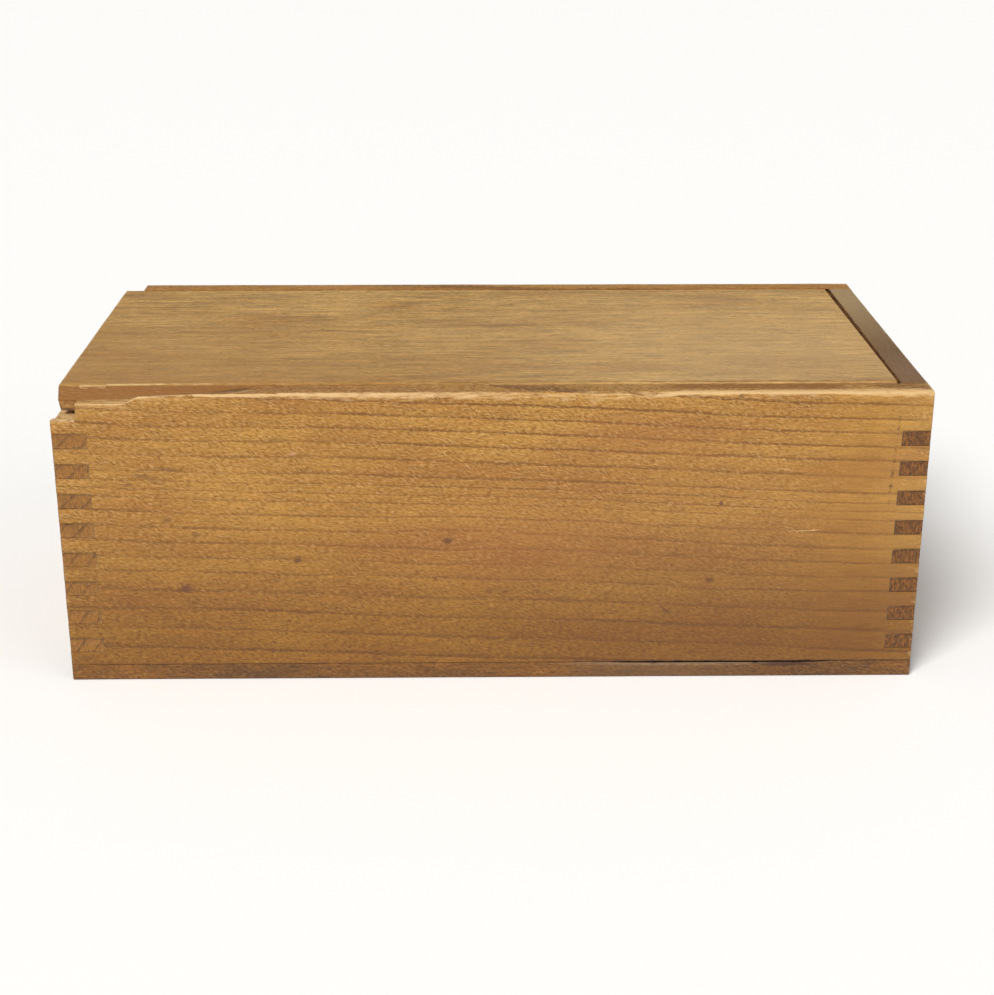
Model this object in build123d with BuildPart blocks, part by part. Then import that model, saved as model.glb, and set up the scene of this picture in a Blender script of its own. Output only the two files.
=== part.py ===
"""A wooden chess box with a sliding lid.

Two long walls and two end walls are finger jointed at the corners and stand on a bottom
board that is nailed on from below. The lid is one board with bevelled long edges. It slides
in grooves near the top of the long walls, over the lower left end wall, until its right end
butts against the taller right end wall. All sizes are in millimetres. The origin is on the
ground under the middle of the box: +X runs to the right along the long walls, +Y runs from
the front wall to the back wall, and +Z points up.
"""

import os

from build123d import *

# Overall size of the closed box
box_length = 275.0
box_depth = 139.0
box_height = 98.0

# Thickness of each board
long_wall_thickness = 11.5
left_end_thickness = 11.0
right_end_thickness = 9.2
bottom_thickness = 5.6
lid_thickness = 6.9

# Groove for the lid, along the inside of each long wall
groove_web = 5.1  # wood left between the groove and the wall's outer face
lip_width = 8.9  # width of the lip's flat top, from the outer face to the lid's bevel
lip_bevel_height = 3.5  # height of the slanted part of the lip

# Running clearances of the lid
lid_side_gap = 0.3  # between the lid's edge and the groove, measured across the box
lid_seat_gap = 0.1  # between the lid's underside and the groove's floor
lid_end_gap = 0.6  # between the lid's right end and the right end wall
lid_pass_gap = 1.5  # between the lid's underside and the top of the left end wall
lid_inset = 1.4  # how far the lid's left end stays inside the box's left face

# Finger joints at the four corners
finger_height = 4.8
finger_pitch = 10.0
first_finger_drop = 13.0  # from the top of the box to the top of the highest finger
glue_gap = 0.1  # on each side of a finger

# Cut-outs and wear at the top of the long walls
notch_length = 8.0  # corner notch that bares the lid's left end
corner_radius = 2.5  # rounded top right corner, seen from the front
edge_radius = 1.5  # rounded outer top edge of the long walls
end_edge_radius = 1.0  # rounded outer top edge of the right end wall
break_depth = 3.5  # where the front lip has broken away beside the notch
break_floor_end = 22.0  # end of the break's level floor, from the left face
break_step_end = 27.0  # end of the steep step after it
break_step_depth = 1.4  # what is still missing above the step
break_end = 65.0  # where the lip is whole again

# Nails that hold the bottom board
nails_per_long_wall = 5
nails_per_end_wall = 2
nail_end_margin = 25.0  # from the box's end to the first nail of a long wall
end_nail_spacing = 60.0
nail_radius = 0.8
nail_head_radius = 1.7
nail_head_thickness = 0.6
nail_head_recess = 0.2  # how deep the head is driven below the underside
nail_reach = 13.0  # how far the nail enters the wall, point included
nail_point_length = 2.0
nail_point_radius = 0.1
nail_fit = 0.05  # around the nail in its hole
bottom_corner_radius = 1.0

# Sizes worked out from those above
half_length = box_length / 2
half_depth = box_depth / 2
inside_depth = box_depth - 2 * long_wall_thickness
lid_underside = box_height - lid_thickness
groove_floor = lid_underside - lid_seat_gap
bevel_foot = box_height - lip_bevel_height
left_end_top = lid_underside - lid_pass_gap
lid_left = -half_length + lid_inset
right_end_inner = half_length - right_end_thickness
lid_right = right_end_inner - lid_end_gap
finger_room = box_height - first_finger_drop - bottom_thickness
finger_count = 1 + int((finger_room - finger_height) // finger_pitch)
top_finger_middle = box_height - first_finger_drop - finger_height / 2
finger_row_middle = top_finger_middle - (finger_count - 1) * finger_pitch / 2
nail_head_top = nail_head_recess + nail_head_thickness
nail_hole_radius = nail_radius + nail_fit

# Where the nails stand, wall by wall
nail_pitch = (box_length - 2 * nail_end_margin) / (nails_per_long_wall - 1)
long_wall_nail_xs = [-half_length + nail_end_margin + i * nail_pitch for i in range(nails_per_long_wall)]
first_end_nail = -(nails_per_end_wall - 1) / 2 * end_nail_spacing
end_wall_nail_ys = [first_end_nail + i * end_nail_spacing for i in range(nails_per_end_wall)]
long_wall_nail_y = half_depth - long_wall_thickness / 2
front_nails = [(x, -long_wall_nail_y) for x in long_wall_nail_xs]
back_nails = [(x, long_wall_nail_y) for x in long_wall_nail_xs]
left_nails = [(-half_length + left_end_thickness / 2, y) for y in end_wall_nail_ys]
right_nails = [(half_length - right_end_thickness / 2, y) for y in end_wall_nail_ys]
all_nails = front_nails + back_nails + left_nails + right_nails


def long_wall_section(side):
    """Give a long wall's section across the box, groove and lip included (front: side -1, back: 1)."""
    outer = side * half_depth
    inner = outer - side * long_wall_thickness
    with BuildSketch(Plane.YZ) as section:
        with BuildLine():
            Polyline(
                (outer, bottom_thickness),
                (inner, bottom_thickness),
                (inner, groove_floor),
                (outer - side * groove_web, groove_floor),
                (outer - side * groove_web, bevel_foot),
                (outer - side * lip_width, box_height),
                (outer, box_height),
                close=True,
            )
        make_face()
    return section.sketch


def long_wall_outline(lip_end):
    """Give a long wall's outline seen from the front; lip_end lists the points of the lip's left end."""
    left = -half_length
    with BuildSketch(Plane.XZ) as outline:
        with BuildLine():
            Polyline(
                (left, bottom_thickness),
                (half_length, bottom_thickness),
                (half_length, box_height),
                *lip_end,
                (left + notch_length, left_end_top),
                (left, left_end_top),
                close=True,
            )
        make_face()
        fillet(outline.vertices().group_by(Axis.Y)[-1].sort_by(Axis.X)[-1], corner_radius)
        with Locations((left + left_end_thickness / 2, finger_row_middle)):
            with GridLocations(0, finger_pitch, 1, finger_count):
                Rectangle(left_end_thickness, finger_height + 2 * glue_gap, mode=Mode.SUBTRACT)
        with Locations((half_length - right_end_thickness / 2, finger_row_middle)):
            with GridLocations(0, finger_pitch, 1, finger_count):
                Rectangle(right_end_thickness, finger_height + 2 * glue_gap, mode=Mode.SUBTRACT)
    return outline.sketch


def end_wall_outline(x, top):
    """Give an end wall's outline across the box at x: its board up to the height top, and its fingers."""
    with BuildSketch(Plane.YZ.offset(x)) as outline:
        with Locations((0, (bottom_thickness + top) / 2)):
            Rectangle(inside_depth, top - bottom_thickness)
        with Locations((0, finger_row_middle)):
            with GridLocations(0, finger_pitch, 1, finger_count):
                Rectangle(box_depth, finger_height)
    return outline.sketch


def groove_filler(x, low, gap):
    """Give the section at x that fills both grooves from the height low up, gap away from each lip."""
    foot = half_depth - groove_web - gap
    crown = half_depth - lip_width - gap
    with BuildSketch(Plane.YZ.offset(x)) as section:
        with BuildLine():
            Polyline(
                (-foot, low),
                (foot, low),
                (foot, bevel_foot),
                (crown, box_height),
                (-crown, box_height),
                (-foot, bevel_foot),
                close=True,
            )
        make_face()
    return section.sketch


def nail_holes(places, height):
    """Give the nail holes at places as a sketch at the given height."""
    with BuildSketch(Plane.XY.offset(height)) as holes:
        with Locations(*places):
            Circle(nail_hole_radius)
    return holes.sketch


whole_lip = [(-half_length + notch_length, box_height)]
broken_lip = [
    (-half_length + break_end, box_height),
    (-half_length + break_step_end, box_height - break_step_depth),
    (-half_length + break_floor_end, box_height - break_depth),
    (-half_length + notch_length, box_height - break_depth),
]

# Front wall: grooved for the lid, its lip broken away beside the left notch
with BuildPart() as front_wall:
    extrude(long_wall_section(-1), amount=half_length, both=True)
    fillet(front_wall.edges().filter_by(Axis.X).group_by(Axis.Z)[-1].sort_by(Axis.Y)[0], edge_radius)
    extrude(long_wall_outline(broken_lip), amount=half_depth, mode=Mode.INTERSECT)
    extrude(nail_holes(front_nails, bottom_thickness), amount=nail_reach, mode=Mode.SUBTRACT)
front_wall.part.label = "front_wall"

# Back wall: the front wall's mirror image with its lip whole
with BuildPart() as back_wall:
    extrude(long_wall_section(1), amount=half_length, both=True)
    fillet(back_wall.edges().filter_by(Axis.X).group_by(Axis.Z)[-1].sort_by(Axis.Y)[-1], edge_radius)
    extrude(long_wall_outline(whole_lip), amount=-half_depth, mode=Mode.INTERSECT)
    extrude(nail_holes(back_nails, bottom_thickness), amount=nail_reach, mode=Mode.SUBTRACT)
back_wall.part.label = "back_wall"

# Left end wall: low enough for the lid to slide out over it
with BuildPart() as left_end_wall:
    extrude(end_wall_outline(-half_length, left_end_top), amount=left_end_thickness)
    extrude(nail_holes(left_nails, bottom_thickness), amount=nail_reach, mode=Mode.SUBTRACT)
left_end_wall.part.label = "left_end_wall"

# Right end wall: full height, with its top shaped to fill the ends of both grooves
with BuildPart() as right_end_wall:
    extrude(end_wall_outline(right_end_inner, groove_floor), amount=right_end_thickness)
    extrude(groove_filler(right_end_inner, groove_floor, glue_gap), amount=right_end_thickness)
    outer_top_edge = right_end_wall.edges().filter_by(Axis.Y).group_by(Axis.Z)[-1].sort_by(Axis.X)[-1]
    fillet(outer_top_edge, end_edge_radius)
    extrude(nail_holes(right_nails, bottom_thickness), amount=nail_reach, mode=Mode.SUBTRACT)
right_end_wall.part.label = "right_end_wall"

# Bottom board: flush with the walls all round, counterbored from below for the nail heads
with BuildPart() as bottom_board:
    with BuildSketch():
        RectangleRounded(box_length, box_depth, bottom_corner_radius)
    extrude(amount=bottom_thickness)
    with BuildSketch():
        with Locations(*all_nails):
            Circle(nail_head_radius + nail_fit)
    extrude(amount=nail_head_top, mode=Mode.SUBTRACT)
    wood_over_heads = bottom_thickness - nail_head_top
    extrude(nail_holes(all_nails, nail_head_top), amount=wood_over_heads, mode=Mode.SUBTRACT)
bottom_board.part.label = "bottom_board"

# Nails: flat heads just below the underside, round shanks and short points
with BuildPart() as bottom_nails:
    with BuildSketch(Plane.XY.offset(nail_head_recess)):
        with Locations(*all_nails):
            Circle(nail_head_radius)
    extrude(amount=nail_head_thickness)
    with BuildSketch(Plane.XY.offset(nail_head_top)):
        with Locations(*all_nails):
            Circle(nail_radius)
    extrude(amount=bottom_thickness + nail_reach - nail_head_top - nail_point_length)
    point_base = bottom_thickness + nail_reach - nail_point_length
    with Locations(*[(x, y, point_base) for x, y in all_nails]):
        Cone(
            nail_radius,
            nail_point_radius,
            nail_point_length,
            align=(Align.CENTER, Align.CENTER, Align.MIN),
        )
bottom_nails.part.label = "bottom_nails"

# Sliding lid: one board whose bevelled long edges run under the lips of both grooves
with BuildPart() as sliding_lid:
    extrude(groove_filler(lid_left, lid_underside, lid_side_gap), amount=lid_right - lid_left)
sliding_lid.part.label = "sliding_lid"

os.makedirs("parts", exist_ok=True)
walls = [front_wall, back_wall, left_end_wall, right_end_wall]
for piece in walls + [bottom_board, bottom_nails, sliding_lid]:
    export_step(piece.part, f"parts/{piece.part.label}.step")

print(f"{finger_count} fingers at each corner, {len(all_nails)} nails")
print(f"lid {lid_right - lid_left:.1f} mm long, {lid_right + half_length:.1f} mm of travel frees it")
print(f"inside {right_end_inner + half_length - left_end_thickness:.1f} x {inside_depth:.1f} mm")
print(f"and {lid_underside - bottom_thickness:.1f} mm high under the lid")
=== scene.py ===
"""The looks of an old wooden chess box with a sliding lid.

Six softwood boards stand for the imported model's boards. Each is sawn, lengthened, eased, sanded
and worn in mesh code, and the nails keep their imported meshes. The boards are worked in
millimetres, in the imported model's frame, and are scaled to metres when they become objects.
Every finish is a tree of shader nodes that reads the piece's own coordinates in millimetres.
"""

import logging
import math
import random
from collections.abc import Callable, Iterable, Mapping, Sequence
from dataclasses import astuple, dataclass, field
from enum import Enum

import bmesh
import bpy
from mathutils import Matrix, Vector, noise


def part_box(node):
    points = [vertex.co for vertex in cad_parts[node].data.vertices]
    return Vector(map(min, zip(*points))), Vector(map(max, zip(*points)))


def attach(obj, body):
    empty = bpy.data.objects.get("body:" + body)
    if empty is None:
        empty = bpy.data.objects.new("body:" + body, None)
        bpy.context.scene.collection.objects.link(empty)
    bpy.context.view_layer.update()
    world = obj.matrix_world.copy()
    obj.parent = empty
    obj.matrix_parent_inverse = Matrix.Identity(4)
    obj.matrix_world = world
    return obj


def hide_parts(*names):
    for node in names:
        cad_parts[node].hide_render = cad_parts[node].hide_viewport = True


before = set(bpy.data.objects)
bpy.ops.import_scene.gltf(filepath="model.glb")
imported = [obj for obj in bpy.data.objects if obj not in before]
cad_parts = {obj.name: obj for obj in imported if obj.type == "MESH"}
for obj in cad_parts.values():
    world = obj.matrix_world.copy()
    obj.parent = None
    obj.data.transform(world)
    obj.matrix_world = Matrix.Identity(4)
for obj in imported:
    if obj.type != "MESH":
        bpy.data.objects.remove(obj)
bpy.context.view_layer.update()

log = logging.getLogger("chess_box")

MM = 0.001  # one millimetre in metres
HAIR = 0.01  # in mm: closer than this, two places count as one
EVER = 1e6  # in mm: a mark this wide goes right through a board

Triple = tuple[float, float, float]
Place = tuple[float, float]
Socket = bpy.types.NodeSocket
Vert = bmesh.types.BMVert
Face = bmesh.types.BMFace
Choice = Callable[[Vector, Vector], bool]


class Axis(Enum):
    """An axis of the box's frame."""

    X = 0
    Y = 1
    Z = 2


class Side(Enum):
    """A long wall's side of the box, with the sign of its outer face along Y."""

    FRONT = -1
    BACK = 1


class End(Enum):
    """An end of the box, with the sign of its outer face along X."""

    LEFT = -1
    RIGHT = 1


def cad_box(node: str) -> tuple[Vector, Vector]:
    """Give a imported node's lowest and highest corners in millimetres."""
    low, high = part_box(node)
    return Vector(low) / MM, Vector(high) / MM


def colour(hex_code: str) -> tuple[float, float, float, float]:
    """Turn an sRGB colour such as "#b6874d" to linear red, green, blue and alpha.

    Args:
        hex_code: the colour as six hex digits after a hash.

    Returns:
        The four linear channels.
    """
    channels = [int(hex_code[i : i + 2], 16) / 255 for i in (1, 3, 5)]
    linear = [c / 12.92 if c <= 0.04045 else ((c + 0.055) / 1.055) ** 2.4 for c in channels]
    return (linear[0], linear[1], linear[2], 1.0)


def blend(low: float, high: float, share: float) -> float:
    """Give the value at a share of the way from low to high, held between them."""
    return low + (high - low) * min(1.0, max(0.0, share))


def rough(x: float, y: float, z: float = 0.0) -> float:
    """Give smooth noise from about -1 to 1 at a point whose units are the bumps' own size."""
    return noise.noise(Vector((x, y, z)))


def onto_arc(u: float, v: float, radius: float) -> Place:
    """Pull a point in a square corner onto the arc that rounds the corner.

    Args:
        u: distance inwards from the corner's first face.
        v: distance inwards from its second face.
        radius: the arc's radius.

    Returns:
        The two distances after rounding.
    """
    if u >= radius or v >= radius:
        return u, v
    reach = math.hypot(radius - u, radius - v)
    if reach <= radius:
        return u, v
    return radius - (radius - u) * radius / reach, radius - (radius - v) * radius / reach


class Shading:
    """A material's node tree, filled one node at a time.

    Where a node has several sets of sockets they go by number: a colour Mix takes the share at 0,
    the colours at 6 and 7 and gives their mix at 2, and a vector scale takes its factor at 3.
    """

    def __init__(self, name: str) -> None:
        """Start an empty material.

        Args:
            name: the material's name.
        """
        self.material = bpy.data.materials.new(name)
        self.material.use_nodes = True
        self.tree = self.material.node_tree
        self.tree.nodes.clear()

    def add(
        self,
        kind: str,
        inputs: Sequence | Mapping = (),
        out: int | str = 0,
        stops: Sequence[tuple[float, str]] = (),
        **settings: object,
    ) -> Socket | None:
        """Add a node with its settings and links.

        Args:
            kind: the node's class name without ShaderNode.
            inputs: values or sockets, in the order of the node's inputs or by their names.
            out: the output to give back.
            stops: a colour ramp's places and colours.
            **settings: the node's own properties.

        Returns:
            The chosen output, or None for a node without outputs.
        """
        node = self.tree.nodes.new(f"ShaderNode{kind}")
        for setting, value in settings.items():
            setattr(node, setting, value)
        for i, (place, hex_code) in enumerate(stops):
            element = node.color_ramp.elements[i] if i < 2 else node.color_ramp.elements.new(place)
            element.position = place
            element.color = colour(hex_code)
        pairs = inputs.items() if isinstance(inputs, Mapping) else enumerate(inputs)
        for key, value in pairs:
            if isinstance(value, Socket):
                self.tree.links.new(value, node.inputs[key])
            else:
                node.inputs[key].default_value = value
        return node.outputs[out] if node.outputs else None


@dataclass(frozen=True)
class Spot:
    """A mark on a board: a small knot, stain, scratch or painted shade, an ellipsoid with soft
    edges.

    The place and the size are in mm in the board's own turned frame, whose X runs along the grain.
    """

    place: Triple
    size: Triple
    strength: float = 1.0
    turn: float = 0.0  # degrees about the frame's Y axis
    hue: str = "#5e3518"
    softness: float = 0.9  # how wide the edge is, where 1 is the whole mark


@dataclass(frozen=True)
class Knot:
    """A small knot that the rings bend round, in the board's own turned frame, in mm."""

    along: float
    height: float
    reach: Place  # how far the rings bend, along and across the grain
    push: float  # how far the rings move apart


@dataclass(frozen=True)
class RingBand:
    """A stretch of rings that are narrower (more of them) or wider than the rest."""

    start: float
    end: float
    extra: float  # how many more rings the stretch holds


@dataclass(frozen=True)
class Softwood:
    """Pine-like softwood, planed, sanded and varnished long ago.

    To the eye it is warm and satin, with thin dark ring lines, fine slanting flecks between them,
    sawn ends that drank the varnish and went dark, and edges rubbed pale. Part of the pale edges
    and flecks is painted highlight, and part of the darkening low down and in gaps, grooves and
    seams is painted shade. Lengths are in mm. The turned frame has X along the grain.
    """

    name: str
    grain: Axis
    pith: Place  # where the tree's heart ran, as Y and Z of the turned frame
    first_ring: float  # radius of the ring that counts as the first
    ring_width: float = 5.0
    ring_slope: float = 0.0  # how much the rings climb per mm along the grain
    bands: tuple[RingBand, ...] = ()
    knots: tuple[Knot, ...] = ()
    spots: tuple[Spot, ...] = ()
    gauge_line: Spot | None = None  # where a joiner's gauge scratched the fingers' depth
    quiet: Spot | None = None  # where the flecks fade
    bold: Spot | None = None  # where the ring lines are strongest
    pale: str = "#ad7e31"
    early: str = "#a3732a"
    warm: str = "#9a6724"
    late: str = "#764800"
    end_grain: str = "#75502f"
    # Bare also paints highlight; stain and grime also paint shade in gaps, grooves and seams.
    bare_and_highlight: str = "#cfaa74"
    stain_and_shade: str = "#7f4e12"
    grime_and_shade: str = "#341a09"
    raw: str = "#b58e56"
    late_strength: float = 0.95
    fleck_strength: float = 1.0
    fibre_strength: float = 0.5
    fibre_size: Triple = (9.0, 0.5, 0.45)  # real fibres are 0.05 wide, too fine to show
    mottle: float = 0.36  # how much the tone varies from patch to patch
    pore_strength: float = 0.75  # of the sawn ends' open pores
    end_contrast: float = 1.0  # between the sawn ends' pale and dark streaks
    # Painted shade, partly patina: how much the tone darkens toward the foot.
    shade_low: Triple | None = None  # red, green and blue lost at the foot
    shade_from: float = 80.0  # height where that darkening starts
    shade_to: float = 0.0
    fleck_turn: float = 50.0
    fleck_size: float = 1.0  # times the flecks of a board sawn as the walls are
    roughness: float = 0.46
    seed: float = 0.0

    # Sizes of the patterns, in mm: along the grain, into the board and across the grain. The
    # flecks, pores and fibres of real wood are some 0.05 to 0.2 wide. They are drawn 0.4 to 0.8
    # wide here, because a pixel of the render covers 0.3.
    WAVE = (95, 60, 34)  # slow wander of the rings
    RIPPLE = (13, 12, 4)  # their small waves
    RAGGED = (1.9, 1.4, 0.8)  # their ragged edges
    LINE_PATCH = (30, 9, 3)  # where the late lines fade and swell
    GRIT = (1.5, 0.8, 0.55)
    SLANT = (1.9, 0.9, 0.38)  # short slanting flecks
    SLANT_PATCH = (9, 6, 3)  # where the slanting flecks crowd
    CLOUD = (55, 20, 14)  # pale and warm cloudiness
    TONE_PATCH = (7, 4, 2.4)
    DASH = (2.2, 6, 2.4)  # gaps in the gauge line, where the scratch jumped the hard lines
    END_STREAK = (3, 0.55, 1.7)
    RUB_GRAIN = (4, 0.9, 0.7)  # fibres that rubbing has left dark
    BLOTCH = (9, 5, 5)  # uneven varnish
    END_PORES = 1.3  # open pores of a sawn end, per mm
    DENTS = 0.16  # small dents in the faces, per mm

    WAVE_DEPTH = 1.6  # these three in mm: how far the patterns of those names move the rings
    RIPPLE_DEPTH = 0.9
    RAGGED_DEPTH = 0.8

    # Shares of a ring's width, from its pale early wood to the next ring.
    LATE_RISE = (0.72, 0.93)  # where the dark late line grows
    LATE_FALL = (0.96, 1.0)  # where it ends sharply, as winter ends a ring
    SLOW_RISE = (0.15, 0.92)  # where the wood before it darkens slowly

    # How much the marks of use cover the wood where they are strongest, in the order laid. The
    # stain and dirt marks also carry painted shade, and the worn mark painted highlight.
    USE_COVER = {"inside": 0.5, "stain_and_shade": 0.85, "dirt_and_shade": 0.95, "worn": 0.87}

    def material(self) -> bpy.types.Material:
        """Build the wood's material.

        Returns:
            The material.
        """
        wood = Shading(self.name)
        place = self._turned_place(wood)
        late, slow = self._ring_tones(wood, place, self._ring_count(wood, place))
        fibre, fleck = self._fibres(wood, place)
        body = self._body(wood, place, (late, slow), (fibre, fleck))
        body = self._marks(wood, place, body)
        ends = self._end_mask(wood)
        body = self._end_grain(wood, place, body, late, ends)
        body, worn = self._use(wood, place, body)
        matt = wood.add("Math", [worn, ends], operation="MAXIMUM")
        self._surface(wood, place, body, (late, fibre, fleck), matt)
        return wood.material

    def _turned_place(self, wood: Shading) -> Socket:
        """Give the point in mm, turned so that X runs along the grain.

        Args:
            wood: the material's tree.

        Returns:
            The point.
        """
        here = wood.add("TexCoord", out="Object")
        place = wood.add("VectorMath", {0: here, 3: 1 / MM}, operation="SCALE")
        if self.grain is Axis.Y:
            place = wood.add("Mapping", {"Vector": place, "Rotation": (0, 0, -math.pi / 2)})
        return place

    def _pattern(
        self,
        wood: Shading,
        place: Socket,
        size: Triple,
        turn: float = 0.0,
        detail: float = 2.0,
        shift: float = 0.0,
    ) -> Socket:
        """Give noise from 0 to 1 whose bumps have a real size.

        Args:
            wood: the material's tree.
            place: the point in mm.
            size: the bumps' size in mm, along the turned axes.
            turn: degrees about Y by which the bumps lie askew.
            detail: octaves of finer noise.
            shift: moves the pattern, so that two of the same size differ.

        Returns:
            The noise.
        """
        spot = wood.add(
            "Mapping",
            {
                "Vector": place,
                "Location": (37.0 * (self.seed + shift), 11.0 * shift, 23.0 * self.seed),
                "Rotation": (0, math.radians(turn), 0),
                "Scale": size,
            },
            vector_type="TEXTURE",
        )
        return wood.add("TexNoise", {"Vector": spot, "Scale": 1.0, "Detail": detail})

    def _distance(self, wood: Shading, place: Socket, spot: Spot) -> Socket:
        """Give the distance from a mark's middle, where 1 is the mark's edge.

        Args:
            wood: the material's tree.
            place: the point in mm.
            spot: the mark.

        Returns:
            The distance.
        """
        turn = (0, math.radians(spot.turn), 0)
        inputs = {"Vector": place, "Location": spot.place, "Rotation": turn, "Scale": spot.size}
        inside = wood.add("Mapping", inputs, vector_type="TEXTURE")
        return wood.add("VectorMath", [inside], operation="LENGTH", out="Value")

    def _ring_count(self, wood: Shading, place: Socket) -> Socket:
        """Count the growth rings from the first one.

        Args:
            wood: the material's tree.
            place: the point in mm.

        Returns:
            The count, whose whole numbers are the ring boundaries.
        """
        from_pith = wood.add("VectorMath", [place, (0, *self.pith)], operation="SUBTRACT")
        across = wood.add("VectorMath", [from_pith, (0, 1, 1)], operation="MULTIPLY")
        radius = wood.add("VectorMath", [across], operation="LENGTH", out="Value")
        along = wood.add("SeparateXYZ", [place], out="X")
        depth = wood.add("Math", [along, -self.ring_slope, radius], operation="MULTIPLY_ADD")
        wanders = (
            (self.WAVE, 2 * self.WAVE_DEPTH, 0.0, 1.0, 3),
            (self.RIPPLE, self.RIPPLE_DEPTH, 0.0, 1.0, 4),
            (self.RAGGED, self.RAGGED_DEPTH, self.fleck_turn / 2, 2.0, 2),
        )
        for size, reach, turn, detail, shift in wanders:
            wander = self._pattern(wood, place, size, turn, detail, shift)
            depth = wood.add("Math", [wander, reach, depth], operation="MULTIPLY_ADD")
        for knot in self.knots:
            middle = (knot.along, 0.0, knot.height)
            away = self._distance(wood, place, Spot(middle, (knot.reach[0], EVER, knot.reach[1])))
            square = wood.add("Math", [away, away], operation="MULTIPLY")
            fade = wood.add("Math", [math.exp(-1), square], operation="POWER")
            height = wood.add("SeparateXYZ", [place], out="Z")
            offset = wood.add("Math", [height, knot.height], operation="SUBTRACT")
            push = wood.add("Math", [offset, fade], operation="MULTIPLY")
            steep = knot.push / knot.reach[1]
            depth = wood.add("Math", [push, steep, depth], operation="MULTIPLY_ADD")
        wandered = self.WAVE_DEPTH + self.RIPPLE_DEPTH / 2 + self.RAGGED_DEPTH / 2
        depth = wood.add("Math", [depth, self.first_ring + wandered], operation="SUBTRACT")
        count = wood.add("Math", [depth, self.ring_width], operation="DIVIDE")
        for band in self.bands:
            extra = wood.add("MapRange", [depth, band.start, band.end, 0, band.extra])
            count = wood.add("Math", [count, extra], operation="ADD")
        return count

    def _ring_tones(self, wood: Shading, place: Socket, ring: Socket) -> tuple[Socket, Socket]:
        """Turn the ring count to the thin late line and the slow darkening before it.

        Args:
            wood: the material's tree.
            place: the point in mm.
            ring: the ring count.

        Returns:
            The late line and the slow darkening, each from 0 to 1.
        """
        soft = {"interpolation_type": "SMOOTHSTEP"}
        phase = wood.add("Math", [ring], operation="FRACT")
        index = wood.add("Math", [ring], operation="FLOOR")
        chance = wood.add("TexWhiteNoise", {"W": index}, noise_dimensions="1D")
        rise = wood.add("MapRange", [phase, *self.LATE_RISE, 0, 1], **soft)
        fall = wood.add("MapRange", [phase, *self.LATE_FALL, 1, 0], **soft)
        line = wood.add("Math", [rise, fall], operation="MULTIPLY")
        patch = self._pattern(wood, place, self.LINE_PATCH, shift=5)
        strengths = [
            wood.add("MapRange", [patch, 0.34, 0.66, 0.6, 1.2]),
            wood.add("MapRange", [chance, 0, 1, 0.78, 1.0]),
        ]
        if self.bold:
            away = self._distance(wood, place, self.bold)
            strengths.append(wood.add("MapRange", [away, 0.5, 1.3, 1.3, 0.8]))
        for strength in strengths:
            line = wood.add("Math", [line, strength], operation="MULTIPLY")
        slow = wood.add("MapRange", [phase, *self.SLOW_RISE, 0, 1])
        return line, wood.add("Math", [slow, fall], operation="MULTIPLY")

    def _fibres(self, wood: Shading, place: Socket) -> tuple[Socket, Socket]:
        """Draw the long fibres, the fine grit and the slanting flecks.

        Args:
            wood: the material's tree.
            place: the point in mm.

        Returns:
            The long fibres, about -0.5 to 0.5, and the grit with the flecks, about -1 to 1.
        """
        long_fibre = self._pattern(wood, place, self.fibre_size, detail=3.0, shift=6)
        fibre = wood.add("Math", [long_fibre, 0.5], operation="SUBTRACT")
        size = tuple(self.fleck_size * length for length in self.GRIT)
        grit = self._pattern(wood, place, size, turn=self.fleck_turn / 4, detail=3.0, shift=7)
        grit = wood.add("MapRange", [grit, 0.38, 0.62, -0.9, 0.9], clamp=False)
        slant = self._pattern(wood, place, self.SLANT, turn=self.fleck_turn, shift=13)
        slant = wood.add("MapRange", [slant, 0.38, 0.62, -1, 1], clamp=False)
        patch = self._pattern(wood, place, self.SLANT_PATCH, shift=15)
        patchy = wood.add("MapRange", [patch, 0.47, 0.64, 0.05, 0.95])
        slant = wood.add("Math", [slant, patchy], operation="MULTIPLY")
        fleck = wood.add("Math", [grit, slant], operation="ADD")
        if self.quiet:
            away = self._distance(wood, place, self.quiet)
            loud = wood.add("MapRange", [away, 0.4, 1.2, 0.35, 1])
            fleck = wood.add("Math", [fleck, loud], operation="MULTIPLY")
        return fibre, fleck

    def _body(
        self,
        wood: Shading,
        place: Socket,
        rings: tuple[Socket, Socket],
        fibres: tuple[Socket, Socket],
    ) -> Socket:
        """Mix the wood's colours: pale and warm cloudiness, rings, fibres and flecks.

        Toward the foot it lays painted shade, which stands partly for patina.

        Args:
            wood: the material's tree.
            place: the point in mm.
            rings: the late line and the slow darkening before it.
            fibres: the long fibres and the flecks.

        Returns:
            The colour.
        """
        (late, slow), (fibre, fleck) = rings, fibres
        cloud = self._pattern(wood, place, self.CLOUD, detail=3.0, shift=8)
        stops = ((0.34, self.pale), (0.66, self.warm), (0.5, self.early))
        tone = wood.add("ValToRGB", [cloud], out="Color", stops=stops)
        darker = wood.add("Math", [slow, 0.2], operation="MULTIPLY")
        lines = wood.add("Math", [late, self.late_strength], operation="MULTIPLY")
        covers = (
            (wood.add("Math", [darker, lines], operation="MAXIMUM", use_clamp=True), self.late),
            # Pale flecks, partly painted glints of the fine relief.
            (wood.add("MapRange", [fleck, 0.1, 1.6, 0, 0.42 * self.fleck_strength]), self.bare_and_highlight),
            (wood.add("MapRange", [fleck, -0.1, -1.6, 0, 0.85 * self.fleck_strength]), self.late),
        )
        for cover, hue in covers:
            tone = wood.add("Mix", {0: cover, 6: tone, 7: colour(hue)}, 2, data_type="RGBA")
        patch = self._pattern(wood, place, self.TONE_PATCH, shift=9)
        lift = [fibre, self.fibre_strength, 1 - self.mottle / 2]
        lift = wood.add("Math", lift, operation="MULTIPLY_ADD")
        lift = wood.add("Math", [patch, self.mottle, lift], operation="MULTIPLY_ADD")
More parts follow.
